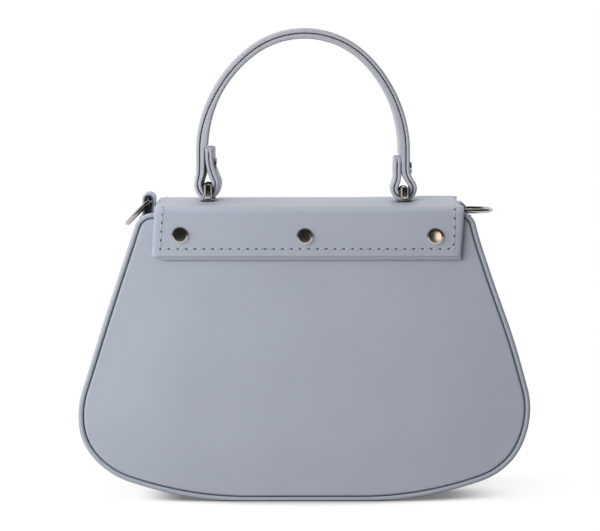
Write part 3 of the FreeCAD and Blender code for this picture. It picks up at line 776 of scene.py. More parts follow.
@dataclass(frozen=True)
class Outline:
    """Outline of the bag's two faces, in the face's own plane: x across, z up from its lowest point.

    From the middle of the base: a flat, a wide arc, a corner arc, a leaning flank, a shoulder arc and the
    mouth. An inset moves every part of it inwards by the same amount.
    """

    width: float = 240.0
    height: float = 154.2
    base_flat: float = 60.0
    base_radius: float = 190.0
    corner_radius: float = 40.0
    flank_lean: float = FLANK_LEAN
    shoulder_radius: float = 10.0
    arc_points: int = 26
    line_points: int = 20

    @property
    def corner(self) -> tuple[float, float]:
        """Centre of the right corner arc, which touches the base arc from inside."""
        x = self.width / 2 - self.corner_radius
        reach = self.base_radius - self.corner_radius
        return x, self.base_radius - math.sqrt(reach ** 2 - (x - self.base_flat / 2) ** 2)

    def flank(self, inset: Number, z: Number) -> Number:
        """Half width of the straight flank at a height."""
        x, level = self.corner
        sine, cosine = math.sin(self.flank_lean), math.cos(self.flank_lean)
        return (x * cosine + level * sine + self.corner_radius - inset - z * sine) / cosine

    def low_half(self, inset: float) -> Array:
        """Right half below the flank: base flat, base arc and corner arc, up to the flank's start."""
        middle, base = (self.base_flat / 2, self.base_radius), self.base_radius
        x, level = self.corner
        meet = math.atan2(level - base, x - middle[0])
        parts = [run((0, inset), (middle[0], inset), self.line_points // 2),
                 bend(middle, base - inset, -QUARTER, meet, self.line_points),
                 bend((x, level), self.corner_radius - inset, meet, self.flank_lean, self.arc_points)]
        return np.concatenate(parts)

    def closed(self, inset: float) -> Array:
        """The whole outline as a ring, anticlockwise from the middle of the base."""
        x, level = self.corner
        low = self.low_half(inset)
        lean, radius = self.flank_lean, self.corner_radius - inset
        start = (x + radius * math.cos(lean), level + radius * math.sin(lean))
        centre_z = self.height - self.shoulder_radius
        centre = (float(self.flank(self.shoulder_radius, centre_z)), centre_z)
        bow = self.shoulder_radius - inset
        stop = (centre[0] + bow * math.cos(lean), centre[1] + bow * math.sin(lean))
        top = self.height - inset
        half = np.concatenate([low, run(start, stop, self.line_points),
                               bend(centre, bow, lean, QUARTER, self.arc_points // 2),
                               run((centre[0], top), (0, top), self.line_points)])
        return np.concatenate([half, [[0.0, top]], half[:0:-1] * (-1, 1)])


@dataclass(frozen=True)
class Tilt:
    """Frame of the leaning faces: x across, y into the bag from the leather's outside, z up the face."""

    lean: float = math.asin(10.0 / 154.2)
    half_depth: float = 40.0
    lift: float = -0.371

    def world(self, points: Array, face: Face = Face.BACK) -> Array:
        """Turn points of a face's own frame into the bag's frame.

        Args:
            points: Points (..., 3) on the back face's frame.
            face: Face that they belong to; the front one is the back one's mirror image.

        Returns:
            Points in the bag's frame.
        """
        sine, cosine = math.sin(self.lean), math.cos(self.lean)
        y = -self.half_depth + points[..., 1] * cosine + points[..., 2] * sine
        z = self.lift - points[..., 1] * sine + points[..., 2] * cosine
        return np.stack([points[..., 0], -face.value * y, z], axis=-1)

    def half_depth_at(self, z: Number, sink: float) -> Number:
        """Half of the bag's depth at a height, between points that lie a sink inside the two faces."""
        sine, cosine = math.sin(self.lean), math.cos(self.lean)
        return self.half_depth - sink * cosine - (z - self.lift + sink * sine) * math.tan(self.lean)


@dataclass(frozen=True)
class BagBody:
    """The fixed body: two panels, their piping, the gusset, the lining and the mouth's facings."""

    outline: Outline = Outline()
    tilt: Tilt = Tilt()
    piping_radius: float = 1.4
    piping_sink: float = 0.75
    piping_squash: float = 0.85
    piping_points: int = 24
    groove_shade: float = 0.95
    groove_start: float = 0.72
    groove_ease: float = 0.2
    sole_shade: float = 0.85
    sole_height: float = 0.95
    sole_ease: float = 0.5
    panel_edge: float = 2.7
    panel_roll: float = 1.5
    seam_shade: float = 0.42
    rim_rings: int = 14
    rim_width: float = 9.0
    rim_crowd: float = 1.6
    inner_rings: int = 26
    inmost: float = 0.03
    centre_height: float = 76.0
    bulge: float = 1.6
    front_bulge: float = 0.7
    bulge_reach: float = 34.0
    bulge_top: float = 124.0
    bulge_ease: float = 50.0
    wave: float = 0.12
    wave_length: float = 74.0
    wave_rim: float = 12.0
    gusset_inset: float = 1.0
    gusset_sink: float = 1.8
    gusset_leather: float = 1.6
    gusset_bevel: float = 0.5
    gusset_columns: int = 29
    gusset_shade: float = 0.8
    gusset_shade_start: float = 0.965
    gusset_shade_ease: float = 0.03
    flank_rows: int = 30
    rim_dip: float = RIM_Z
    rim_arc: float = 78.0
    flank_hollow: float = 1.2
    lining_inset: float = 5.6
    lining_sink: float = 3.3
    lining_drop: float = 3.0
    lining_height: float = 148.5
    lining_sag: float = 0.35
    sag_length: float = 42.0
    sag_rim: float = 14.0
    facing_depth: float = 5.0
    facing_drop: float = 0.4
    facing_inside: tuple[float, float] = (0.6, 4.5)
    facing_round: float = 0.4
    facing_points: int = 40
    fill_start: float = 40.0
    fill_reach: float = 60.0
    shoulder: tuple[float, float, float, float] = (69.0, 10.0, 134.0, 14.0)
    shoulder_lift: float = 1.0
    left_fill: tuple[tuple[float, float, float], ...] = ((0.5, 100.0, 40.0), (1.8, 30.0, 18.0))
    right_fill: tuple[tuple[float, float, float], ...] = (
        (1.7, 86.0, 30.0), (0.8, 20.0, 12.0), (0.45, 135.0, 22.0), (0.6, 151.0, 5.0))

    def settled(self, x: Array, z: Array) -> tuple[Array, Array]:
        """The leather's own shape: its right shoulder drawn up by the tab, and each side's fullness.

        Each swelling is an amount times a bell curve about a height; it fades out towards the middle.

        Args:
            x: Places across the bag.
            z: Heights up the face.

        Returns:
            The moved places and heights.
        """
        start, reach, level, rise = self.shoulder
        z = z + self.shoulder_lift * smooth((x - start) / reach) * smooth((z - level) / rise)
        left, right = (
            sum(amount * np.exp(-((z - level) / spread) ** 2) for amount, level, spread in swellings)
            for swellings in (self.left_fill, self.right_fill))
        fade = smooth((np.abs(x) - self.fill_start) / self.fill_reach)
        return x + np.where(x < 0, -left, right) * fade, z

    def build(self, wardrobe: Wardrobe) -> None:
        """Build and dress every piece of the body."""
        for face in Face:
            self.panel(face, wardrobe)
            self.piping(face, wardrobe)
        self.gusset(wardrobe)
        self.lining(wardrobe)
        self.facings(wardrobe)

    def rings(self, outline: Outline, edge: float) -> tuple[Array, Array]:
        """Rings of a face from its edge to its middle.

        The outer ones are the outline at growing insets; the inner ones shrink the last of those towards
        a centre.

        Args:
            outline: Outline of the face.
            edge: Inset of the first ring.

        Returns:
            Rings (k, n, 2), and each ring's distance from the edge (k, 1).
        """
        insets = edge + (self.rim_width - edge) * np.linspace(0, 1, self.rim_rings) ** self.rim_crowd
        outer = np.stack([outline.closed(inset) for inset in insets])
        centre = np.array([0.0, self.centre_height])
        shares = np.linspace(1, self.inmost, self.inner_rings)[1:, None, None]
        inner = centre + (outer[-1] - centre) * shares
        deeper = self.rim_width - edge + (1 - shares.ravel()) * self.centre_height
        distance = np.concatenate([insets - edge, deeper])
        rings = np.concatenate([outer, inner])
        return np.stack(self.settled(rings[..., 0], rings[..., 1]), axis=-1), distance[:, None]

    def panel(self, face: Face, wardrobe: Wardrobe) -> None:
        """Leather face, rolled down into the seam at its edge and softly full in its lower middle.

        Depth = a quarter circle over the first millimetres from the edge, minus the fullness times an ease
        of the distance from the edge and of the height under the flap.
        """
        rings, distance = self.rings(self.outline, self.panel_edge)
        roll, reach = self.panel_roll, np.minimum(distance, self.panel_roll)
        depth = roll - np.sqrt(roll ** 2 - (roll - reach) ** 2)
        x, z = rings[..., 0], rings[..., 1]
        fullness = self.bulge if face is Face.BACK else self.front_bulge
        full = smooth(distance / self.bulge_reach) * smooth((self.bulge_top - z) / self.bulge_ease)
        wave = self.wave * ripple(x, z, self.wave_length) * smooth(distance / self.wave_rim)
        local = np.stack([x, depth - (fullness + wave) * full, z], axis=-1)
        # Painted shade: a dark line along the edge, where the seam's groove lies in shadow.
        painted_shade = np.exp(-(distance / self.seam_shade) ** 2)
        skin = Skin(f"{face.label}_face").surface(self.tilt.world(local, face), tube=True, painted_shade=painted_shade,
                                                  turn_over=face is Face.BACK)
        skin.lid(x.shape[1], face is Face.FRONT)
        dressed(skin.build(), Body.BAG, Slot.LEATHER, wardrobe.leather, f"{face.label}_panel")

    def piping(self, face: Face, wardrobe: Wardrobe) -> None:
        """Round piping in the seam: a circle carried round the outline, flat where it stands, with painted
        shade.
        """
        path = self.outline.closed(self.piping_radius)
        path = np.stack(self.settled(path[:, 0], path[:, 1]), axis=-1)
        section = round_section(self.piping_radius, self.piping_points) * (1.0, self.piping_squash)
        angle = np.arctan2(section[::-1, 1], section[::-1, 0])
        tube = swept(path, section, closed=True)
        tube[..., 1] += self.piping_sink
        inward = np.abs(angle) / math.pi
        points = self.tilt.world(tube, face)
        # Painted shade: darker on the underside next to the floor and on the side that turns into the
        # groove.
        sole = self.sole_shade * smooth((self.sole_height - points[..., 2]) / self.sole_ease)
        groove = self.groove_shade * smooth((inward - self.groove_start) / self.groove_ease)
        painted_shade = np.maximum(groove, sole)
        points[..., 2] = np.maximum(points[..., 2], 0.0)
        skin = Skin(f"{face.label}_cord").surface(points, ring=True, tube=True, painted_shade=painted_shade,
                                                  turn_over=face is Face.FRONT)
        dressed(skin.build(), Body.BAG, Slot.PIPING, wardrobe.piping, f"{face.label}_piping")

    def trough(self, inset: float, sink: float, drop: float) -> tuple[Array, Array, Array]:
        """Strip round the sides and base, from the left rim to the right one.

        Each row is a place on the outline, each column a share v of the depth. The rim is an arc that dips
        towards the middle of the depth, and the flanks hollow a little below it.

        Args:
            inset: How far inside the outline it runs.
            sink: How far inside the faces it ends.
            drop: How far its rim lies below the gusset's.

        Returns:
            Points (n, m, 3), shares across (1, m) and the flat map (n, m, 2).
        """
        columns = self.gusset_columns
        share = np.linspace(-1, 1, columns)[None, :]
        rim_y = share * self.tilt.half_depth_at(self.rim_dip, sink)
        rim = self.rim_dip - drop - self.tilt.lift + self.rim_arc - np.sqrt(self.rim_arc ** 2 - rim_y ** 2)
        low = self.outline.low_half(inset)
        lean, radius = self.outline.flank_lean, self.outline.corner_radius - inset
        start_z = self.outline.corner[1] + radius * math.sin(lean)
        climb = np.linspace(0, 1, self.flank_rows)[:, None]
        flank_z = start_z + climb * (rim - start_z)
        hollow = self.flank_hollow * (1 - share ** 2) * smooth(climb)
        flank_x = self.outline.flank(inset, flank_z) - hollow
        low_x, low_z = (np.repeat(low[:, k:k + 1], columns, axis=1) for k in (0, 1))
        x = np.concatenate([low_x, flank_x])
        z = np.concatenate([low_z, flank_z])
        x = np.concatenate([-x[:0:-1], x])
        z = np.concatenate([z[:0:-1], z])
        x, z = self.settled(x, z)
        z = z + self.tilt.lift
        y = share * self.tilt.half_depth_at(z, sink)
        step = np.hypot(np.diff(x, axis=0), np.diff(z, axis=0))
        along = np.concatenate([np.zeros((1, columns)), np.cumsum(step, axis=0)])
        return np.stack([x, y, z], axis=-1), share, np.stack([along, y], axis=-1)

    def gusset(self, wardrobe: Wardrobe) -> None:
        """Leather strip between the two seams, with its own thickness and a rounded rim."""
        points, share, chart = self.trough(self.gusset_inset, self.gusset_sink, 0.0)
        # Painted shade: darker along both edges, where the seams shadow the strip.
        edge = smooth((np.abs(share) - self.gusset_shade_start) / self.gusset_shade_ease)
        skin = Skin("gusset_strip")
        piece = skin.surface(points, painted_shade=self.gusset_shade * edge, chart=chart, turn_over=True).build()
        piece = thickened(piece, self.gusset_leather, self.gusset_bevel)
        dressed(piece, Body.BAG, Slot.LEATHER, wardrobe.leather, "gusset")

    def lining(self, wardrobe: Wardrobe) -> None:
        """Cloth bag inside: a strip and two faces whose outsides look into the bag."""
        points, _, chart = self.trough(self.lining_inset, self.lining_sink, self.lining_drop)
        skin = Skin("cloth_lining").surface(points, chart=chart)
        low = Outline(height=self.lining_height)
        for face in Face:
            rings, distance = self.rings(low, self.lining_inset)
            x, z = rings[..., 0], rings[..., 1]
            sag = self.lining_sag * (1 + ripple(x, z, self.sag_length)) * smooth(distance / self.sag_rim)
            local = np.stack([x, self.lining_sink + sag, z], axis=-1)
            skin.surface(self.tilt.world(local, face), tube=True, chart=np.stack([x, z], axis=-1),
                         turn_over=face is Face.FRONT)
            skin.lid(x.shape[1], face is Face.BACK)
        dressed(skin.build(), Body.BAG, Slot.LINING, wardrobe.cloth, "lining")

    def facings(self, wardrobe: Wardrobe) -> None:
        """Turned-in leather along the mouth: a rounded section over the top of board and lining."""
        half = float(self.outline.flank(self.outline.shoulder_radius, self.outline.height))
        top = self.outline.height - self.piping_radius - self.facing_drop
        path = run((half, 0.0), (-half, 0.0), self.facing_points)
        low, high = top - self.facing_depth, top
        section = rounded_section(*self.facing_inside, 1.0, self.facing_round, self.facing_round)
        section = np.stack([low + (high - low) * (section[:, 1] + 0.5), section[:, 0]], axis=-1)
        for face in Face:
            tube = swept(path, section)
            skin = Skin(f"{face.label}_mouth_facing").strip(self.tilt.world(tube, face),
                                                            turn_over=face is Face.BACK)
            dressed(skin.build(), Body.BAG, Slot.LEATHER, wardrobe.leather)


# The flap

@dataclass(frozen=True)
class Rail:
    """The flap's way from its low back edge to the front fold, as seen from the side.

    Attributes:
        line: Points (n, 2) as y and z.
        normal: Outward normals (n, 2).
        left: Half width to the left at each point.
        right: Half width to the right at each point.
    """

    line: Array
    normal: Array
    left: Array
    right: Array


@dataclass(frozen=True)
class Flap:
    """The flap: one leather from its riveted back part over the fold to the front, lined beneath.

    A strip runs up the back face, over a round fold, across the top, over the front fold and down the
    front face. The share u across it is 1 at its right edge. The back part hangs a little to the right.
    """

    tilt: Tilt = Tilt()
    outline: Outline = Outline()
    half_width: float = 80.3
    left_top: float = 79.9
    left_low: float = 81.3
    right_top: float = 82.6
    right_fold: float = 84.6
    right_low: float = 82.7
    waist: tuple[float, float] = (-29.0, 27.0)
    waist_ease: float = 15.0
    anchor_out: float = 3.45
    anchor_low: float = 131.2
    leather: float = 1.35
    leather_bevel: float = 0.45
    top: float = 157.38
    under: float = 153.78
    back_fold: float = 4.4
    front_fold: float = 5.3
    front_seat: float = 29.69
    front_drop: float = 88.0
    corner_radius: float = 32.0
    base_radius: float = 420.0
    edge_roll: float = 0.75
    edge_reach: float = 3.0
    edge_limit: float = 0.98
    top_span: tuple[float, float] = (-31.0, 30.0)
    top_ease: float = 6.0
    wave: float = 0.16
    wave_length: float = 58.0
    wave_stretch: float = 1.3
    wave_rim: float = 10.0
    right_lift: float = 1.3
    lift_start: float = 22.0
    lift_reach: float = 55.0
    lift_back: float = 22.0
    lift_end: float = 40.0
    lift_front: float = 20.0
    dome: float = 0.8
    dome_end: float = -20.0
    dome_ease: float = 28.0
    dome_middle: float = 2.0
    dome_reach: float = 28.0
    dome_rim: float = 12.0
    foot_reach: float = 7.0
    foot_middle: float = HANDLE_Y
    foot_half: float = 10.0
    feet: tuple[tuple[float, float], ...] = ((LEFT_BRIDGE_X, 0.4), (RIGHT_BRIDGE_X, 1.0))
    front_ease: float = 30.0
    lip_drop: float = 1.8
    lip_left: float = -5.0
    lip_right: float = 0.3
    lip_thickness: float = 0.95
    lip_top: float = 4.0
    lip_gap: float = 0.03
    lip_bevel: float = 0.3
    lip_rows: int = 12
    lip_columns: int = 33
    lining_share: float = 0.985
    lining_gap: float = 0.05
    lining_start: float = -25.0
    lining_bevel: float = 0.5
    columns: int = 121
    back_rows: int = 24
    back_gap: float = 0.3
    fold_rows: int = 14
    top_rows: int = 34
    front_rows: int = 46
    stitch_pitch: float = 4.65
    stitch_inset: float = 4.2
    stitch_shift: float = 0.1
    column: float = 79.6
    hole: tuple[float, float] = (0.68, 0.46)
    hole_lift: float = 0.03
    hole_points: int = 10
    row_inset: float = 3.3
    stitch_length: float = 3.3
    stitch_width: float = 0.7
    stitch_slant: float = math.radians(12)
    spindle: tuple[tuple[float, float], ...] = (
        (0.0, 0.5), (0.7, 0.4), (1.0, 0.15), (1.0, -0.15), (0.7, -0.4), (0.0, -0.5))
    spindle_points: int = 8
    row_points: int = 60
    side_points: int = 30
    corner_points: int = 24
    blend_start: tuple[float, float] = (-32.4, 153.0)
    blend_angle: float = math.radians(30)
    blend_length: float = 5.0

    def build(self, wardrobe: Wardrobe) -> None:
        """Build and dress every piece of the flap."""
        self.skin(wardrobe)
        self.under_lining(wardrobe)
        self.anchor_lining(wardrobe)
        self.stitches(wardrobe)

    def back_halves(self, z: Array) -> tuple[Array, Array]:
        """Half widths to the left and right of the back part at heights up the face."""
        share = np.clip((self.outline.height - z) / (self.outline.height - self.anchor_low), 0, 1)
        return (self.left_top + (self.left_low - self.left_top) * share,
                self.right_fold + (self.right_low - self.right_fold) * share)

    def rail(self, offset: float) -> Rail:
        """Side view of the flap's surface at an offset below its outside, down to the front fold."""
        sine, cosine = math.sin(self.tilt.lean), math.cos(self.tilt.lean)
        rise = np.linspace(self.anchor_low, self.outline.height, self.back_rows)
        sink = np.full(rise.shape, offset - self.anchor_out)
        back = self.tilt.world(np.stack([0 * rise, sink, rise], axis=-1))[:, 1:]
        fold, level = self.back_fold - offset, self.top - self.back_fold
        edge = back[0] + np.array([sine, cosine]) * (level - back[0, 1]) / cosine
        centre = (edge[0] + fold / cosine, level)
        bow = bend(centre, fold, math.pi - self.tilt.lean, QUARTER, self.fold_rows)
        seat = (self.front_seat, self.top - self.front_fold)
        flat = run((centre[0], self.top - offset), (seat[0], self.top - offset), self.top_rows)
        brow = bend(seat, self.front_fold - offset, QUARTER, self.tilt.lean, self.fold_rows)
        last = seat + (self.front_fold - offset) * np.array([cosine, sine])
        back = back[back[:, 1] < bow[0, 1] - self.back_gap]
        line = np.concatenate([back, bow, flat, brow, [last]])
        tangent = directions(line, False)
        normal = np.stack([-tangent[:, 1], tangent[:, 0]], axis=1)
        left, right = self.back_halves((line[:, 1] - self.tilt.lift) / cosine)
        start, stop = self.waist
        into = smooth((line[:, 0] - start) / self.waist_ease)
        out_of = smooth((stop - line[:, 0]) / self.waist_ease)
        right = right - (self.right_fold - self.right_top) * into * out_of
        return Rail(line, normal, left, right)

    def front_corner(self) -> tuple[float, float]:
        """Centre of the front's round corner, as x and the way down from the front fold.

        It lies the corner's radius inside the flared side, and touches the wide low arc from inside.
        """
        slope = math.tan(self.outline.flank_lean)
        side = self.half_width - self.corner_radius / math.cos(self.outline.flank_lean)
        mid, reach = self.front_drop - self.base_radius, self.base_radius - self.corner_radius
        a, b = 1 + slope ** 2, side * slope - mid
        down = (-b + math.sqrt(b ** 2 - a * (side ** 2 + mid ** 2 - reach ** 2))) / a
        return side + slope * down, down

    def front_height(self, share: Array) -> Array:
        """Length of each column down the front, from the front fold to the low edge.

        A column is a straight line that flares with the flank. It ends where it meets the wide low arc or,
        outside the point where the two touch, the corner's circle.

        Args:
            share: Shares u across the flap.

        Returns:
            Length for each column.
        """
        start = np.abs(share) * self.half_width
        spread = np.abs(share) * math.tan(self.outline.flank_lean)

        def meets(x: float, down: float, radius: float) -> Array:
            """Way down to the far side of a circle."""
            a, b = 1 + spread ** 2, (start - x) * spread - down
            inside = b ** 2 - a * ((start - x) ** 2 + down ** 2 - radius ** 2)
            return (-b + np.sqrt(np.maximum(inside, 0))) / a

        x, down = self.front_corner()
        on_arc = meets(0.0, self.front_drop - self.base_radius, self.base_radius)
        on_corner = meets(x, down, self.corner_radius)
        touch = x * self.base_radius / (self.base_radius - self.corner_radius)
        return np.where(start + spread * on_arc > touch, on_corner, on_arc)

    def spare(self, out: Array, down: Array) -> Array:
        """Width that a side keeps beyond the plain half width, easing out down the front."""
        extra = np.where(out < 0, self.left_top, self.right_fold) - self.half_width
        return extra * (1 - smooth(down / self.front_ease))

    def on_front(self, rail: Rail, x: Array, down: Array) -> Array:
        """Points of the front at places across and ways down from the end of a rail."""
        y = rail.line[-1, 0] + down * math.sin(self.tilt.lean)
        z = rail.line[-1, 1] - down * math.cos(self.tilt.lean)
        return np.stack(np.broadcast_arrays(x, y, z), axis=-1)

    def shaped(self, points: Array, normal: Array, rim: Array) -> Array:
        """Leather's own shape: rolled sides, dents round the bridges' feet and a raised right end.

        Args:
            points: Points of the strip (n, m, 3).
            normal: Outward normals as y and z (n, 1, 2).
            rim: Distance from the nearer side edge (n, m).

        Returns:
            The points, moved.
        """
        x, y = points[..., 0], points[..., 1]
        lip = np.clip(1 - rim / self.edge_reach, 0, 1)
        sink = self.edge_roll * (1 - np.sqrt(1 - self.edge_limit * lip ** 2))
        back, front = self.top_span
        flat = smooth((y - back) / self.top_ease) * smooth((front - y) / self.top_ease)
        for foot, dent in self.feet:
            apart = np.hypot(x - foot, np.maximum(np.abs(y - self.foot_middle) - self.foot_half, 0))
            sink = sink + dent * np.exp(-(apart / self.foot_reach) ** 2) * flat
        wave = self.wave * ripple(x, y * self.wave_stretch, self.wave_length)
        wave = wave * smooth(rim / self.wave_rim) * flat
        lift = self.right_lift * smooth((x - self.lift_start) / self.lift_reach)
        lift = lift * smooth((y - back) / self.lift_back) * smooth((self.lift_end - y) / self.lift_front)
        moved = points.copy()
        moved[..., 1:] -= normal * (sink - wave)[..., None]
        moved[..., 2] += lift
        return moved

    def strip(self, offset: float, share: Array) -> tuple[Array, Array]:
        """The flap's surface at an offset below its outside.

        Args:
            offset: Depth below the outside.
            share: Shares u across the flap.

        Returns:
            Points (n, m, 3) from the back's low edge to the front's, and the length along it (n, m).
        """
        rail = self.rail(offset)
        half = np.where(share < 0, rail.left[:, None], rail.right[:, None])
        line = rail.line[:, None, :] + np.zeros((1, share.size, 1))
        fixed = np.concatenate([(half * share)[..., None], line], axis=-1)
        down = np.linspace(0, 1, self.front_rows)[1:, None] * self.front_height(share)[None, :]
        front_half = self.half_width + down * math.tan(self.outline.flank_lean) + self.spare(share, down)
        points = np.concatenate([fixed, self.on_front(rail, share * front_half, down)])
        normal = np.concatenate([rail.normal, np.repeat(rail.normal[-1:], len(down), axis=0)])[:, None, :]
        rim = np.concatenate([half, front_half]) * (1 - np.abs(share))
        points = self.shaped(points, normal, rim)
        step = np.linalg.norm(np.diff(points, axis=0), axis=-1)
        return points, np.concatenate([np.zeros((1, share.size)), np.cumsum(step, axis=0)])

    def domed(self, points: Array) -> Array:
        """Rise of the leather over the left half of the top: a parabola from the back to the front."""
        x, y = points[..., 0], points[..., 1]
        arch = np.clip(1 - ((y - self.dome_middle) / self.dome_reach) ** 2, 0, 1)
        ends = smooth((self.dome_end - x) / self.dome_ease) * smooth((x + self.left_top) / self.dome_rim)
        return self.dome * arch * ends

    def bends(self, piece: bpy.types.Object) -> None:
        """Bake a piece's place into its mesh."""
        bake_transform(piece)

    def shares(self) -> Array:
        """Shares u of the columns, which crowd towards the sides as a sine, to follow the round corners."""
        return np.sin(np.linspace(-QUARTER, QUARTER, self.columns))

    def skin(self, wardrobe: Wardrobe) -> None:
        """The flap's leather, with its domed top."""
        points, along = self.strip(0.0, self.shares())
        points[..., 2] += self.domed(points)
        chart = np.stack([points[..., 0], along], axis=-1)
        piece = Skin("flap_skin").surface(points, chart=chart, turn_over=True).build()
        piece = thickened(piece, self.leather, self.leather_bevel)
        self.bends(dressed(piece, None, Slot.LEATHER, wardrobe.leather, "flap_anchor", "flap_leather"))

    def under_lining(self, wardrobe: Wardrobe) -> None:
        """Lining over the stiff board of the moving part: the same strip below the leather."""
        points, along = self.strip(self.leather + self.lining_gap, self.shares() * self.lining_share)
        first = int(np.argmax(points[:, self.columns // 2, 1] > self.lining_start))
        keep_rows = slice(first, points.shape[0] - 1)
        chart = np.stack([points[keep_rows, :, 0], along[keep_rows]], axis=-1)
        piece = Skin("flap_underside").surface(points[keep_rows], chart=chart, turn_over=True).build()
        thickness = self.top - self.under - self.leather - self.lining_gap
        dressed(thickened(piece, thickness, self.lining_bevel), Body.FLAP, Slot.LINING, wardrobe.inside,
                "flap_lining", "flap_board")

    def anchor_lining(self, wardrobe: Wardrobe) -> None:
        """Second layer under the back part, whose low edge and right edge show as a lip."""
        top = self.outline.height - self.lip_top
        z = np.linspace(self.anchor_low - self.lip_drop, top, self.lip_rows)[:, None]
        left, right = self.back_halves(z)
        share = np.linspace(0, 1, self.lip_columns)[None, :]
        x = -(left + self.lip_left) * (1 - share) + (right + self.lip_right) * share
        local = np.stack(np.broadcast_arrays(x, self.leather + self.lip_gap - self.anchor_out, z), axis=-1)
        skin = Skin("flap_lip").surface(self.tilt.world(local), chart=local[..., ::2], turn_over=True)
        piece = thickened(skin.build(), self.lip_thickness, self.lip_bevel)
        dressed(piece, Body.BAG, Slot.LEATHER, wardrobe.leather, "flap_anchor_lining")

    def stitch_line(self) -> tuple[Array, Array]:
        """The stitching's way round the flap: along the back's low edge, over the top and round the front.

        Returns:
            Points (n, 3) of a ring and outward normals (n, 3).
        """
        rail, inset = self.rail(0.0), self.stitch_inset
        along = lengths(rail.line)
        up = along >= self.row_inset
        line, normal = rail.line[up], rail.normal[up]
        right = np.concatenate([np.minimum(rail.right[up] - inset, self.column)[:, None], line], axis=1)
        left = np.concatenate([(inset - rail.left[up] + self.stitch_shift)[:, None], line], axis=1)
        lean, (x, down) = self.outline.flank_lean, self.front_corner()
        small, wide = self.corner_radius - inset, self.base_radius - inset
        mid = self.front_drop - self.base_radius
        touch = math.atan2(down - mid, x)
        side = np.array([self.half_width - inset / math.cos(lean), 0.0])
        round_end = np.array([x + small * math.cos(lean), down - small * math.sin(lean)])
        half = np.concatenate([run(side, round_end, self.side_points),
                               bend((x, down), small, -lean, touch, self.corner_points),
                               bend((0, mid), wide, touch, QUARTER, self.side_points)])
        front = np.concatenate([half, [[0.0, mid + wide]], half[:0:-1] * (-1, 1)])
        front[:, 0] += self.spare(front[:, 0], front[:, 1]) * front[:, 0] / self.half_width
        points = np.concatenate([run(left[0], right[0], self.row_points), right[:-1],
                                 self.on_front(rail, front[:, 0], front[:, 1]), left[::-1]])
        facing = np.concatenate([np.repeat(normal[:1], self.row_points, axis=0), normal[:-1],
                                 np.repeat(normal[-1:], len(front), axis=0), normal[::-1]])
        return points, np.concatenate([np.zeros((len(facing), 1)), facing], axis=1)

    def stitches(self, wardrobe: Wardrobe) -> None:
        """Thread and holes: even spindles along the stitching, with a dark disc of painted shade between
        each two.
        """
        line, facing = self.stitch_line()
        along = lengths(line)
        count = round(along[-1] / self.stitch_pitch)
        places = np.linspace(0, along[-1], 2 * count + 1)

        def at(values: Array, where: Array) -> Array:
            """Values along the stitching at lengths along it."""
            return np.stack([np.interp(where, along, values[:, k]) for k in range(3)], axis=-1)

        spot, tip, tail = at(line, places[1::2]), at(line, places[2::2]), at(line, places[:-1:2])
        normal = at(facing, places[1::2])
        way = tip - tail
        way /= np.linalg.norm(way, axis=1, keepdims=True)
        cross = np.cross(normal, way)
        slanted = way * math.cos(self.stitch_slant) + cross * math.sin(self.stitch_slant)
        axes = np.stack([slanted, np.cross(normal, slanted), normal], axis=1)
        spindle = turned(np.array(self.spindle), self.spindle_points)
        rows, ring = spindle.shape[:2]
        shape = np.stack([spindle[..., 2] * self.stitch_length, spindle[..., 0] * self.stitch_width / 2,
                          spindle[..., 1] * self.stitch_width / 2], axis=-1).reshape(-1, 3)
        faces = [[r * ring + c, (r + 1) * ring + c, (r + 1) * ring + after, r * ring + after]
                 for r in range(rows - 1) for c, after in zip(range(ring), [*range(1, ring), 0])]
        thread = Skin("flap_thread").copies(shape, faces, spot, axes).build()
        self.bends(dressed(thread, None, Slot.LEATHER, wardrobe.thread))
        # Painted shade: each stitch hole is a flat dark disc standing for the shadow in the hole.
        count, lift = self.hole_points, self.hole_lift
        rim = np.pad(round_section(1.0, count) * self.hole, ((0, 0), (0, 1)), constant_values=lift)
        disc = np.concatenate([[[0.0, 0.0, lift]], rim])
        fan = [[0, 1 + k, 1 + (k + 1) % count] for k in range(count)]
        holes = Skin("flap_stitch_holes").copies(disc, fan, tip, axes).build()
        self.bends(dressed(holes, None, Slot.LEATHER, wardrobe.ink))


# The handle

@dataclass(frozen=True)
class LoopPlan:
    """Places of one of the strap's loops, as distances from the middle of the bag.

    Attributes:
        leg: Seam line of the leg.
        bar: Centre of the bridge's bar.
        fold: Seam line of the folded end.
        fold_top: Height of the folded end.
        radius: Radius of the loop under the bar.
        ease: Radius of the arcs that lead into the loop.
        level: Height of the loop's centre.
        droop: Stretch of the loop's lower half.
    """

    leg: float
    bar: float
    fold: float
    fold_top: float
    radius: float
    ease: float
    level: float
    droop: float


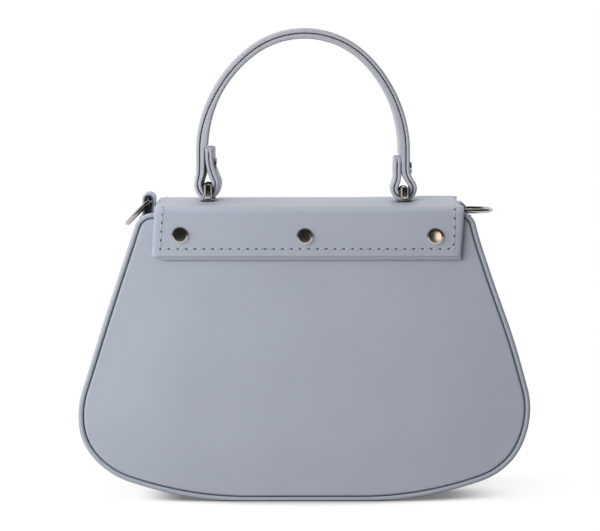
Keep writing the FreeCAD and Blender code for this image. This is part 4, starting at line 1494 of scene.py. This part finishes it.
@dataclass(frozen=True)
class Handle:
    """The arched strap of two leathers, whose ends loop under the bars and fold back up inside.

    The seam between the leathers is the path: down the folded end, out along an easing arc, round under
    the bar, back along another easing arc, up the leg, along a side arc and over the crown. Each folded end
    has its own height, as on the photographed bag.
    """

    left: LoopPlan = LoopPlan(leg=56.55, bar=52.95, fold=51.7, fold_top=187.2, radius=4.8, ease=32.0,
                              level=167.2, droop=1.42)
    right: LoopPlan = LoopPlan(leg=55.05, bar=53.8, fold=50.25, fold_top=182.1, radius=5.1, ease=14.0,
                               level=164.4, droop=0.92)
    centre_y: float = HANDLE_Y
    spring_z: float = 184.381
    crown_x: float = -0.1
    crown_radius: float = 48.1
    crown_z: float = 201.15
    width: float = 14.0
    top_leather: float = 2.1
    under_leather: float = 2.15
    padded: float = 4.3
    slim: float = 0.4
    seam: float = 0.3
    tip: float = 2.0
    seam_sink: float = 0.9
    seam_skew: float = 0.4
    swell: float = 0.9
    leg_start: float = 32.0
    end_round: float = 1.2
    end_blunt: float = 0.1
    twist: float = 0.1
    twist_start: float = 46.0
    twist_reach: float = 14.0
    shade: float = 0.9
    shade_drop: float = 1.0
    shade_reach: float = 4.0
    shade_edge: float = 0.15
    leg_padding: float = 0.5
    leg_low: float = 168.0
    leg_ease: float = 5.0
    arch_low: float = 188.0
    arch_rise: float = 36.0
    skew_reach: float = 40.0
    seam_round: float = 0.4
    top_round: tuple[float, float] = (0.9, 0.4)
    under_round: tuple[float, float] = (0.75, 0.5)
    ink_lap: float = 0.15
    ink_inset: float = 0.9
    ink_round: float = 0.02
    fold_points: int = 26
    ease_points: int = 16
    loop_points: int = 34
    leg_points: int = 14
    side_points: int = 34
    crown_points: int = 24

    def half(self, plan: LoopPlan, out: int) -> Array:
        """One half of the seam line, drawn as if on the right, from its folded end to the crown.

        An easing arc touches its straight run and the loop's circle from outside. The side arc touches the
        leg and holds the crown's circle inside.

        Args:
            plan: Places of the loop.
            out: 1 for the right half, -1 for the left one.

        Returns:
            Points (n, 2) as x and z.
        """
        er, reach, crown_x = plan.ease, plan.ease + plan.radius, out * self.crown_x
        gaps = (plan.bar - plan.fold, plan.leg - plan.bar)
        rises = [math.sqrt(reach ** 2 - (er + gap) ** 2) for gap in gaps]
        fold_z, leg_z = plan.level + rises[0], plan.level + rises[1]
        fold_ease, leg_ease = (math.atan2(up, er + gap) for up, gap in zip(rises, gaps))
        apart, rise = plan.leg - crown_x, self.crown_z - self.spring_z
        side_radius = (self.crown_radius ** 2 - apart ** 2 - rise ** 2) / (2 * (self.crown_radius - apart))
        side = (plan.leg - side_radius, self.spring_z)
        meet = math.atan2(rise, crown_x - side[0])
        loop = bend((plan.bar, plan.level), plan.radius, math.pi - fold_ease, 2 * math.pi + leg_ease,
                    self.loop_points)
        loop[:, 1] -= (plan.droop - 1) * np.maximum(plan.level - loop[:, 1], 0)
        return np.concatenate([
            run((plan.fold, plan.fold_top), (plan.fold, fold_z), self.fold_points),
            bend((plan.fold - er, fold_z), er, 0, -fold_ease, self.ease_points),
            loop,
            bend((plan.leg + er, leg_z), er, math.pi + leg_ease, math.pi, self.ease_points),
            run((plan.leg, leg_z), (plan.leg, self.spring_z), self.leg_points),
            bend(side, side_radius, 0, meet, self.side_points),
            bend((crown_x, self.crown_z), self.crown_radius, meet, QUARTER, self.crown_points)])

    def path(self) -> tuple[Array, Array]:
        """The whole seam line in the plane x, z, and the height of the folded end on each point's side."""
        right, left = self.half(self.right, 1), self.half(self.left, -1)
        top = [[self.crown_x, self.crown_z + self.crown_radius]]
        line = np.concatenate([right, top, left[::-1] * (-1, 1)])
        return line, np.repeat([self.right.fold_top, self.left.fold_top], [len(right) + 1, len(left)])

    def build(self, wardrobe: Wardrobe) -> None:
        """Build and dress the two leathers and the painted seam between them.

        The under leather is thin in the loops and swells over its padding just above each folded end. Along
        the arch the strap is slimmer and its seam lies nearer the middle.
        """
        path, ends = self.path()
        along = lengths(path)
        end = np.minimum(along, along[-1] - along)
        ease = np.sqrt(1 - (1 - np.clip((end + self.end_blunt) / self.end_round, 0, 1)) ** 2)
        gap = self.seam * smooth((end - self.tip) / self.tip)
        on_leg = end > self.leg_start
        arch = smooth((path[:, 1] - ends) / self.swell) * on_leg
        padding = self.leg_padding * smooth((path[:, 1] - self.leg_low) / self.leg_ease)
        thin = self.under_leather + padding * on_leg
        high = smooth((path[:, 1] - self.arch_low) / self.arch_rise)
        depth = thin + (self.padded - thin) * arch - self.slim * high
        split = -high * (self.seam_sink - self.seam_skew * np.clip(path[:, 0] / self.skew_reach, -1, 1))
        top = split + (self.top_leather - self.slim * high - split) * ease
        low = split - (depth + split) * ease
        width = self.width * (0.5 + 0.5 * ease)
        top_round = (self.top_round[0] + self.top_round[1] * high) * ease
        under_round = (self.under_round[0] + self.under_round[1] * arch) * ease
        upper = rounded_section(split + gap, top, width, self.seam_round * ease, top_round)
        lower = rounded_section(low, split - gap, width, under_round, self.seam_round * ease)
        lap = gap + self.ink_lap * ease
        narrow = width - self.ink_inset
        rim = rounded_section(split - lap, split + lap, narrow, self.ink_round, self.ink_round, 2)
        # Painted shade: the inner faces of the loops darken below each folded end, where they lie in
        # shadow.
        inner = np.abs(lower[..., 1]) < width[:, None] / 2 - self.shade_edge
        inner = inner & (lower[..., 0] < (low + split)[:, None] / 2)
        depths = smooth((ends - self.shade_drop - path[:, 1]) / self.shade_reach)
        shade = self.shade * inner * depths[:, None]
        self.strap("handle_outer", path, upper, wardrobe.handle, 0.0, "handle_top_leather")
        self.strap("handle_inner", path, lower, wardrobe.handle, shade[:, ::-1],
                   "handle_under_leather", "handle_padding")
        self.strap("handle_seam", path, rim, wardrobe.ink, 0.0)

    def strap(self, name: str, path: Array, section: Array, finish: bpy.types.Material, painted_shade: Number,
              *nodes: str) -> None:
        """Carry one layer's section along the seam line; the left folded end is twisted a little.

        Args:
            name: Name of the piece.
            path: The seam line.
            section: Section of the layer at each point of the line.
            finish: Its material.
            painted_shade: How much painted shade darkens it, one number or one for each point.
            nodes: Frame nodes that it replaces.
        """
        tube = swept(path, section)
        along = lengths(path)
        fold = 1 - smooth((along[-1] - along - self.twist_start) / self.twist_reach)
        tube[..., 0] += self.twist * fold[:, None] * (tube[..., 1] + self.width / 2)
        tube[..., 1] += self.centre_y
        dressed(Skin(name).strip(tube, painted_shade=painted_shade).build(), Body.HANDLE, Slot.HANDLE, finish, *nodes)


# The ring tabs and the metal

@dataclass(frozen=True)
class RingTab:
    """Leather loop that holds a D-ring: up one leg, round the ring's straight side, down the other leg."""

    side: Side
    axis_z: float
    axis_x: float = RING_AXIS_X
    loop_radius: float = 2.75
    rise: float = 0.9
    rim_z: float = RIM_Z
    root_depth: float = 7.0
    outer_root: float = 87.6
    inner_root: float = 84.2
    width: float = 14.0
    leather: float = 1.7
    bore: float = 1.5
    shade_sheet_y: float = 4.0
    pull: float = 3.5
    flank_lean: float = FLANK_LEAN
    edge_round: float = 0.5
    inside_shade: float = 0.85
    inside_start: float = 0.2
    shade_sheet_lap: float = 0.1
    shade_sheet_rings: int = 5
    root_points: int = 12
    leg_points: int = 22
    crown_points: int = 20

    def leg(self, root_x: float, out: int) -> Array:
        """One leg up from its root: a cubic curve that leaves along the flank and ends upright."""
        root = np.array([root_x, self.rim_z - self.root_depth])
        crown = np.array([self.axis_x + out * self.loop_radius, self.axis_z + self.rise])
        along = np.array([-math.sin(self.flank_lean), math.cos(self.flank_lean)]) * self.pull
        t = (np.arange(self.leg_points) / self.leg_points)[:, None]
        return ((1 - t) ** 3 * root + 3 * (1 - t) ** 2 * t * (root + along)
                + 3 * (1 - t) * t ** 2 * (crown - (0, self.pull)) + t ** 3 * crown)

    def build(self, wardrobe: Wardrobe) -> None:
        """Build and dress the tab, whose inside is darkened with painted shade."""
        centre = (self.axis_x, self.axis_z + self.rise)
        crown = bend(centre, self.loop_radius, 0, math.pi, self.crown_points)
        path = np.concatenate([self.leg(self.outer_root, 1), crown, self.leg(self.inner_root, -1)[::-1]])
        half = self.leather / 2
        section = rounded_section(-half, half, self.width, self.edge_round, self.edge_round)
        # Painted shade: the inner side of the loop is dark, where it lies in shadow.
        painted_shade = self.inside_shade * (section[::-1, 0] < -self.inside_start * half)
        tube = swept(path, section)
        tube[..., 0] *= self.side.value
        skin = Skin(f"{self.side.label}_tab_loop")
        skin.strip(tube, painted_shade=painted_shade, turn_over=self.side is Side.LEFT)
        self.shade_sheet(skin, path)
        dressed(skin.build(), Body.BAG, Slot.LEATHER, wardrobe.leather, f"{self.side.label}_ring_tab")

    def shade_sheet(self, skin: Skin, path: Array) -> None:
        """A dark sheet of painted shade between the legs: straight lines from a hole round the ring's bar
        to the loop.

        Args:
            skin: Skin of the tab.
            path: Middle line of the tab's leather.
        """
        tangent = directions(path, False)
        depth = self.leather / 2 - self.shade_sheet_lap
        inner = path - depth * np.stack([tangent[:, 1], -tangent[:, 0]], axis=1)
        inner = np.concatenate([inner, run(inner[-1], inner[0], self.root_points)[1:]])
        ray = inner - (self.axis_x, self.axis_z)
        bore = (self.axis_x, self.axis_z) + self.bore * ray / np.linalg.norm(ray, axis=1, keepdims=True)
        share = np.linspace(0, 1, self.shade_sheet_rings)[:, None, None]
        flat = bore * (1 - share) + inner * share
        for way in (-1, 1):
            points = np.stack([flat[..., 0] * self.side.value, np.full(flat.shape[:2], way * self.shade_sheet_y),
                               flat[..., 1]], axis=-1)
            skin.surface(points, tube=True, painted_shade=1.0, turn_over=(way * self.side.value) > 0)


@dataclass(frozen=True)
class DRing:
    """Ring of round wire: a straight side along y, two short sides and a half-round bow."""

    side: Side
    body: Body
    axis_z: float
    drop: float
    axis_x: float = RING_AXIS_X
    wire: float = 2.5
    width: float = 21.5
    length: float = 19.6
    corner: float = 3.0
    bar_points: int = 12
    side_points: int = 6
    bow_points: int = 48
    wire_points: int = 24

    def build(self, wardrobe: Wardrobe) -> None:
        """Build the ring flat, outwards from its straight side, then turn it down about that side."""
        half, reach = (self.width - self.wire) / 2, self.length - self.wire
        bow, c = reach - half, self.corner
        path = np.concatenate([run((0, half - c), (0, c - half), self.bar_points),
                               bend((c, c - half), c, math.pi, 3 * QUARTER, self.bar_points),
                               run((c, -half), (bow, -half), self.side_points),
                               bend((bow, 0), half, -QUARTER, QUARTER, self.bow_points),
                               run((bow, half), (c, half), self.side_points),
                               bend((c, half - c), c, QUARTER, math.pi, self.bar_points)])
        flat = swept(path, round_section(self.wire / 2, self.wire_points), closed=True)
        out, along, up = flat[..., 0], flat[..., 2], flat[..., 1]
        x = self.axis_x + out * math.cos(self.drop) + up * math.sin(self.drop)
        z = self.axis_z - out * math.sin(self.drop) + up * math.cos(self.drop)
        points = np.stack([x * self.side.value, along, z], axis=-1)
        skin = Skin(f"{self.side.label}_d_ring").surface(points, ring=True, tube=True,
                                                         turn_over=self.side is Side.RIGHT)
        dressed(skin.build(), self.body, Slot.METAL, wardrobe.metal, f"{self.side.label}_ring")


@dataclass(frozen=True)
class Rivets:
    """Round rivet caps: a nearly flat mirror inside a rounded bevel, with a thin foot."""

    tilt: Tilt = Tilt()
    places: tuple[float, ...] = (-66.3, 0.0, 69.3)
    heights: tuple[float, ...] = (142.4, 141.7, 141.7)
    seat: float = 3.45
    radius: float = 4.25
    cap: float = 1.5
    face: float = 3.3
    dome: float = 0.045
    skirt: float = 0.45
    foot_rise: float = 0.1
    foot_out: float = 0.25
    foot_sink: float = 0.4
    face_shares: tuple[float, ...] = (0.0, 0.2, 0.4, 0.6, 0.8, 0.97)
    bevel_points: int = 9
    sharp: float = 35.0
    points: int = 48
    handle_points: int = 32
    handle_y: float = HANDLE_Y
    handle_radius: float = 3.4
    handle_face: float = 2.6
    loops: tuple[tuple[float, float, int, float], ...] = (
        (-58.4, 177.4, -1, 0.1), (-47.6, 177.4, 1, 0.2), (48.2, 175.6, -1, 0.3), (57.1, 175.4, 1, 1.3))

    def profile(self, radius: float, face: float, cap: float) -> Array:
        """Half section of a cap from its middle out: a shallow parabola, an elliptic bevel and a skirt."""
        angle = np.linspace(0, QUARTER, self.bevel_points)
        height = cap * (self.skirt + (1 - self.skirt) * np.cos(angle))
        bevel = np.stack([face + (radius - face) * np.sin(angle), height], axis=-1)
        share = np.array(self.face_shares)
        flat = np.stack([share * face, cap + self.dome * (1 - share ** 2)], axis=-1)
        rim = radius + self.foot_out
        return np.concatenate([flat, bevel, [[radius, self.foot_rise], [rim, 0.0], [rim, -self.foot_sink]]])

    def build(self, wardrobe: Wardrobe) -> None:
        """Build and dress the flap's caps and the caps of the handle's loops."""
        cap = turned(self.profile(self.radius, self.face, self.cap), self.points)
        skin = Skin("rivet_caps")
        for x, z in zip(self.places, self.heights):
            local = np.stack([x + cap[..., 0], -self.seat - cap[..., 2], z + cap[..., 1]], axis=-1)
            skin.surface(self.tilt.world(local), tube=True)
        dressed(skin.build(self.sharp), Body.BAG, Slot.METAL, wardrobe.metal, "flap_rivets")
        skin = Skin("loop_rivet_caps")
        for x, z, way, proud in self.loops:
            low = turned(self.profile(self.handle_radius, self.handle_face, proud), self.handle_points)
            out, along, up = x + way * low[..., 2], self.handle_y + low[..., 0], z + low[..., 1]
            points = np.stack([out, along, up], axis=-1)
            skin.surface(points, tube=True, turn_over=way < 0)
        dressed(skin.build(self.sharp), Body.HANDLE, Slot.METAL, wardrobe.metal, "handle_rivets")


@dataclass(frozen=True)
class Bridge:
    """Bridge on the flap's top: two crowned posts, each on a thin foot and a painted-shade gasket, and a
    bar.
    """

    side: Side
    x: float
    foot_z: float
    shade_washer_drop: float
    y: float = HANDLE_Y
    sink: float = 0.0
    bar_z: float = 165.2
    foot: float = 0.35
    shade_gasket: float = 0.8
    foot_size: tuple[float, float] = (3.8, 2.45)
    spread: float = 10.2
    post_radius: float = 2.1
    crown: float = 0.8
    near_top: float = 167.2
    far_top: float = 165.7
    bar_radius: float = 1.3
    shade_washer_radius: float = 3.1
    shade_washer: tuple[float, float] = (7.6, 8.6)
    shade_washer_edge: float = 0.2
    post_flare: tuple[float, float] = (0.35, 0.4)
    foot_edge: tuple[float, float] = (0.93, 0.2)
    shade_gasket_edge: tuple[float, float] = (0.97, 0.1)
    gasket_sink: float = 0.6
    crown_points: int = 8
    points: int = 40
    bar_points: int = 32
    sharp: float = 40.0

    def plate(self, skin: Skin, levels: Sequence[tuple[float, float]]) -> None:
        """Add an oval plate under each post: one ellipse for each level.

        Args:
            skin: Skin that takes the plates.
            levels: Each ellipse's share of the full size and its height, from the middle of the top down.
        """
        share, z = np.array(levels).T[:, :, None]
        oval = round_section(1.0, self.points) * self.foot_size
        for way in (-1, 1):
            x, y = self.x + share * oval[:, 0], self.y + way * self.spread + share * oval[:, 1]
            skin.surface(np.stack(np.broadcast_arrays(x, y, z), axis=-1), tube=True)

    def build(self, wardrobe: Wardrobe) -> None:
        """Build and dress the metal, then the painted shade: a dark gasket and washers beside the strap."""
        angle = np.linspace(0, QUARTER, self.crown_points)
        base = self.foot_z + self.shade_gasket
        floor = base + self.foot
        out, up = self.post_flare
        root = [[self.post_radius, floor + up], [self.post_radius + out, floor]]
        skin = Skin(f"{self.side.label}_bridge_metal")
        for way, top in ((-1, self.near_top - self.sink), (1, self.far_top - self.sink)):
            height = top - self.crown * (1 - np.cos(angle))
            dome = np.stack([self.post_radius * np.sin(angle), height], axis=-1)
            post = turned(np.concatenate([dome, root]), self.points)
            skin.surface(post + (self.x, self.y + way * self.spread, 0), tube=True)
        self.around(skin, [[self.bar_radius, self.spread], [self.bar_radius, -self.spread]], 0.0)
        share, fall = self.foot_edge
        self.plate(skin, ((0.0, floor), (share, floor), (1.0, floor - fall), (1.0, base)))
        dressed(skin.build(self.sharp), Body.FLAP, Slot.METAL, wardrobe.metal, f"{self.side.label}_bridge")
        # Painted shade: dark washers beside the strap stand for the shadow inside the loops, a dark gasket
        # for the shadow under each foot.
        skin = Skin(f"{self.side.label}_bridge_shade_washers")
        inner, outer = self.shade_washer
        rim, edge = self.shade_washer_radius, self.shade_washer_edge
        for low in (inner, -outer):
            high = low + outer - inner
            self.around(skin, [[0.0, high], [rim - edge, high], [rim, high - edge], [rim, low + edge],
                               [rim - edge, low], [0.0, low]], self.shade_washer_drop)
        share, fall = self.shade_gasket_edge
        sole = self.foot_z - self.gasket_sink
        self.plate(skin, ((0.0, base), (share, base), (1.0, base - fall), (1.0, sole)))
        dressed(skin.build(self.sharp), Body.FLAP, Slot.METAL, wardrobe.ink)

    def around(self, skin: Skin, profile: Sequence[Sequence[float]], drop: float) -> None:
        """Turn a half section of radii and ways along y about the bar's axis, or an axis below it."""
        shape = turned(np.array(profile), self.bar_points)
        height = self.bar_z - self.sink - drop
        x, y, z = self.x + shape[..., 0], self.y + shape[..., 2], height - shape[..., 1]
        skin.surface(np.stack([x, y, z], axis=-1), tube=True)


# The studio

def aimed(name: str, data: bpy.types.ID, place: Sequence[float], aim: Sequence[float]) -> bpy.types.Object:
    """Put a camera or a lamp in the scene, looking along its own -Z at an aim point.

    Args:
        name: Name of the object.
        data: Its camera or lamp data.
        place: Where it stands, in millimetres.
        aim: Point that it looks at.

    Returns:
        The new object, linked to the scene.
    """
    thing = bpy.data.objects.new(name, data)
    thing.location = Vector(np.array(place) * MM)
    look = Vector(np.array(aim) - np.array(place))
    thing.rotation_euler = look.to_track_quat("-Z", "Y").to_euler()
    bpy.context.scene.collection.objects.link(thing)
    return thing


@dataclass(frozen=True)
class Studio:
    """Pale floor, white surround, soft lamps and the camera of the photo."""

    azimuth: float = math.radians(-0.35)
    elevation: float = math.radians(5.8)
    distance: float = 1500.0
    aim: tuple[float, float, float] = (-2.35, 0.0, 122.4)
    lens: float = 165.5
    sensor: float = 36.0
    clip: tuple[float, float] = (0.05, 50.0)
    ambient: float = 0.5
    front_ambient: float = 0.28
    ambient_span: tuple[float, float] = (-0.5, 0.4)
    front_mirror: float = 0.03
    mirror_rise: float = 0.7
    mirror_side: float = 0.6
    mirror_span: tuple[float, float] = (-0.5, -0.25)
    lamp_aim: tuple[float, float, float] = (0.0, 0.0, 100.0)
    key_place: tuple[float, float, float] = (-620.0, -560.0, 240.0)
    key_power: float = 10.2
    key_size: float = 900.0
    top_place: tuple[float, float, float] = (-200.0, 500.0, 1900.0)
    top_power: float = 14.5
    top_size: float = 1600.0
    glint_place: tuple[float, float, float] = (350.0, -3000.0, 257.0)
    glint_size: float = 220.0
    glint: Colour = (1.0, 0.82, 0.66)
    glint_power: float = 0.36
    floor_reach: float = 6000.0
    floor_albedo: float = 0.16
    floor_glow: float = 0.89
    contact: float = 22.0
    contact_depth: float = 0.42
    contact_way: tuple[float, float, float] = (0.0, 0.6, 0.8)
    contact_samples: int = 16
    contact_gain: float = 4.6
    contact_most: float = 0.82
    contact_left: tuple[float, float] = (-93.0, -64.0)
    contact_back: tuple[float, float] = (-16.0, 6.0)
    contact_front: tuple[float, float] = (-70.0, -52.0)
    contact_taper: float = 0.3
    contact_rest: float = 0.3
    fade_start: float = 260.0
    fade_end: float = 620.0

    def build(self) -> None:
        """Set the camera, the world, the floor and the lamps."""
        self.camera()
        self.world()
        self.floor()
        self.lamp("key_lamp", self.key_place, self.key_size, self.key_power)
        self.lamp("top_lamp", self.top_place, self.top_size, self.top_power)
        glint = self.lamp("glint_lamp", self.glint_place, self.glint_size, self.glint_power, self.glint)
        glint.visible_glossy = True
        bpy.context.scene.view_settings.view_transform = "Standard"

    def camera(self) -> None:
        """Place the camera on a sphere about the aim point, looking at it."""
        eye = np.array(self.aim) + self.distance * np.array([
            math.sin(self.azimuth) * math.cos(self.elevation),
            -math.cos(self.azimuth) * math.cos(self.elevation), math.sin(self.elevation)])
        data = bpy.data.cameras.new("camera")
        data.lens = self.lens
        data.sensor_width = self.sensor
        data.clip_start, data.clip_end = self.clip
        bpy.context.scene.camera = aimed("camera", data, eye, self.aim)

    def world(self) -> None:
        """White for the camera; for the light, brighter behind the bag than on the camera's side.

        What the metal mirrors is also darker above and to the right.
        """
        world = bpy.data.worlds.new("studio")
        world.use_nodes = True
        bpy.context.scene.world = world
        graph = Graph(world.node_tree)
        seen = graph.rays("Is Camera Ray", "Is Transmission Ray")
        toward = graph.add("ShaderNodeTexCoord").outputs["Generated"]
        way = graph.add("ShaderNodeSeparateXYZ", None, {0: toward})
        side, depth, height = (Value(graph, way.outputs[k]) for k in range(3))
        soft = self.front_ambient + (self.ambient - self.front_ambient) * depth.between(*self.ambient_span)
        away = depth - self.mirror_rise * height - self.mirror_side * side.at_least(0.0)
        mirror = self.front_mirror + (1.0 - self.front_mirror) * away.between(*self.mirror_span)
        light = soft + (mirror - soft) * graph.rays("Is Glossy Ray")
        strength = seen + (1.0 - seen) * light
        shader = graph.add("ShaderNodeBackground", None, {"Color": (1, 1, 1, 1), "Strength": strength})
        graph.add("ShaderNodeOutputWorld", None, {"Surface": shader.outputs[0]})

    def floor(self) -> None:
        """Pale floor, white for the camera where no shadow falls; a painted contact shadow narrows to its
        ends.
        """
        line = np.array([-self.floor_reach, self.floor_reach])
        x, y = np.meshgrid(line, line, indexing="ij")
        piece = Skin("floor").surface(np.stack([x, y, 0 * x], axis=-1)).build()
        graph, material = Graph.of_material("pale_floor")
        material.cycles.emission_sampling = "NONE"
        seen = graph.rays("Is Camera Ray", "Is Glossy Ray", "Is Transmission Ray")
        matt = graph.add("ShaderNodeBsdfDiffuse", None, {"Color": (self.floor_albedo,) * 3 + (1.0,)})
        lean = graph.add("ShaderNodeCombineXYZ", None, dict(enumerate(self.contact_way)))
        nook = graph.add("ShaderNodeAmbientOcclusion", {"samples": self.contact_samples},
                         {"Distance": self.contact * MM, "Normal": lean.outputs[0]})
        spot = graph.add("ShaderNodeSeparateXYZ", None, {0: graph.place()}).outputs
        side, depth = Value(graph, spot[0]), Value(graph, spot[1])
        near_edge = depth - self.contact_taper * side.at_least(-1.0 * side)
        # Painted shadow: ambient occlusion darkens the floor's glow, cut to a window of places; the matt
        # part keeps the lamps' real shadows.
        close = 1.0 - Value(graph, nook.outputs["AO"]) ** self.contact_depth
        shade = (close * close * self.contact_gain).at_most(self.contact_most)
        for way, (low, high) in ((side, self.contact_left), (near_edge, self.contact_front)):
            shade = shade * way.between(low * MM, high * MM)
        low, high = self.contact_back
        shade = shade * (1.0 - (1.0 - self.contact_rest) * depth.between(low * MM, high * MM))
        tint = graph.mix(shade, (1.0, 1.0, 1.0, 1.0), (0.0, 0.0, 0.0, 1.0))
        glow = graph.add("ShaderNodeEmission", None, {"Color": tint, "Strength": seen * self.floor_glow})
        near = graph.add("ShaderNodeAddShader", None, {0: matt.outputs[0], 1: glow.outputs[0]})
        white = graph.add("ShaderNodeEmission", None, {"Strength": 1.0})
        length = graph.add("ShaderNodeVectorMath", {"operation": "LENGTH"}, {0: graph.place()})
        away = Value(graph, length.outputs["Value"]).between(self.fade_start * MM, self.fade_end * MM)
        layers = {0: away * seen, 1: near.outputs[0], 2: white.outputs[0]}
        both = graph.add("ShaderNodeMixShader", None, layers)
        graph.add("ShaderNodeOutputMaterial", None, {"Surface": both.outputs[0]})
        piece.data.materials.append(material)

    def lamp(self, name: str, place: tuple[float, float, float], size: float, power: float,
             colour: Colour = (1.0, 1.0, 1.0)) -> bpy.types.Object:
        """Add a square soft lamp that looks at the bag and isn't mirrored in the metal.

        Args:
            name: Name of the lamp.
            place: Where it stands.
            size: Length of its sides.
            power: Its power in watts.
            colour: Its colour.

        Returns:
            The lamp.
        """
        data = bpy.data.lights.new(name, "AREA")
        data.size = size * MM
        data.energy = power
        data.color = colour
        lamp = aimed(name, data, place, self.lamp_aim)
        lamp.visible_glossy = False
        return lamp


# Pieces that stay as they were built

METAL_NODES = ("rivet_backs", "bridge_plates", "bridge_screws")
BOARD_NODES = ("back_board", "front_board", "base_board")
STEEL_NODES = ("panel_magnet", "flap_magnet")


def keep(nodes: Sequence[str], finish: bpy.types.Material) -> None:
    """Give frame nodes that keep their shape a finish.

    Args:
        nodes: Names of the nodes.
        finish: Their material.
    """
    for name in nodes:
        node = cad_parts[name]
        node.data.materials.clear()
        node.data.materials.append(finish)
        LOG.info("%s keeps its shape", name)


def main() -> None:
    """Build the bag piece by piece, then the studio."""
    logging.basicConfig(level=logging.INFO, format="%(name)s: %(message)s")
    wardrobe = Wardrobe.stocked()
    BagBody().build(wardrobe)
    Flap().build(wardrobe)
    Handle().build(wardrobe)
    RingTab(Side.LEFT, LEFT_AXIS_Z).build(wardrobe)
    RingTab(Side.RIGHT, RIGHT_AXIS_Z).build(wardrobe)
    DRing(Side.LEFT, Body.LEFT_RING, LEFT_AXIS_Z, LEFT_DROP).build(wardrobe)
    DRing(Side.RIGHT, Body.RIGHT_RING, RIGHT_AXIS_Z, drop=0.0).build(wardrobe)
    Rivets().build(wardrobe)
    Bridge(Side.LEFT, LEFT_BRIDGE_X, foot_z=157.85, shade_washer_drop=1.0).build(wardrobe)
    Bridge(Side.RIGHT, RIGHT_BRIDGE_X, foot_z=157.7, shade_washer_drop=1.6, sink=1.4).build(wardrobe)
    keep(METAL_NODES, wardrobe.metal)
    keep(BOARD_NODES, wardrobe.board)
    keep(STEEL_NODES, wardrobe.steel)
    Studio().build()


if __name__ == "__main__":
    main()
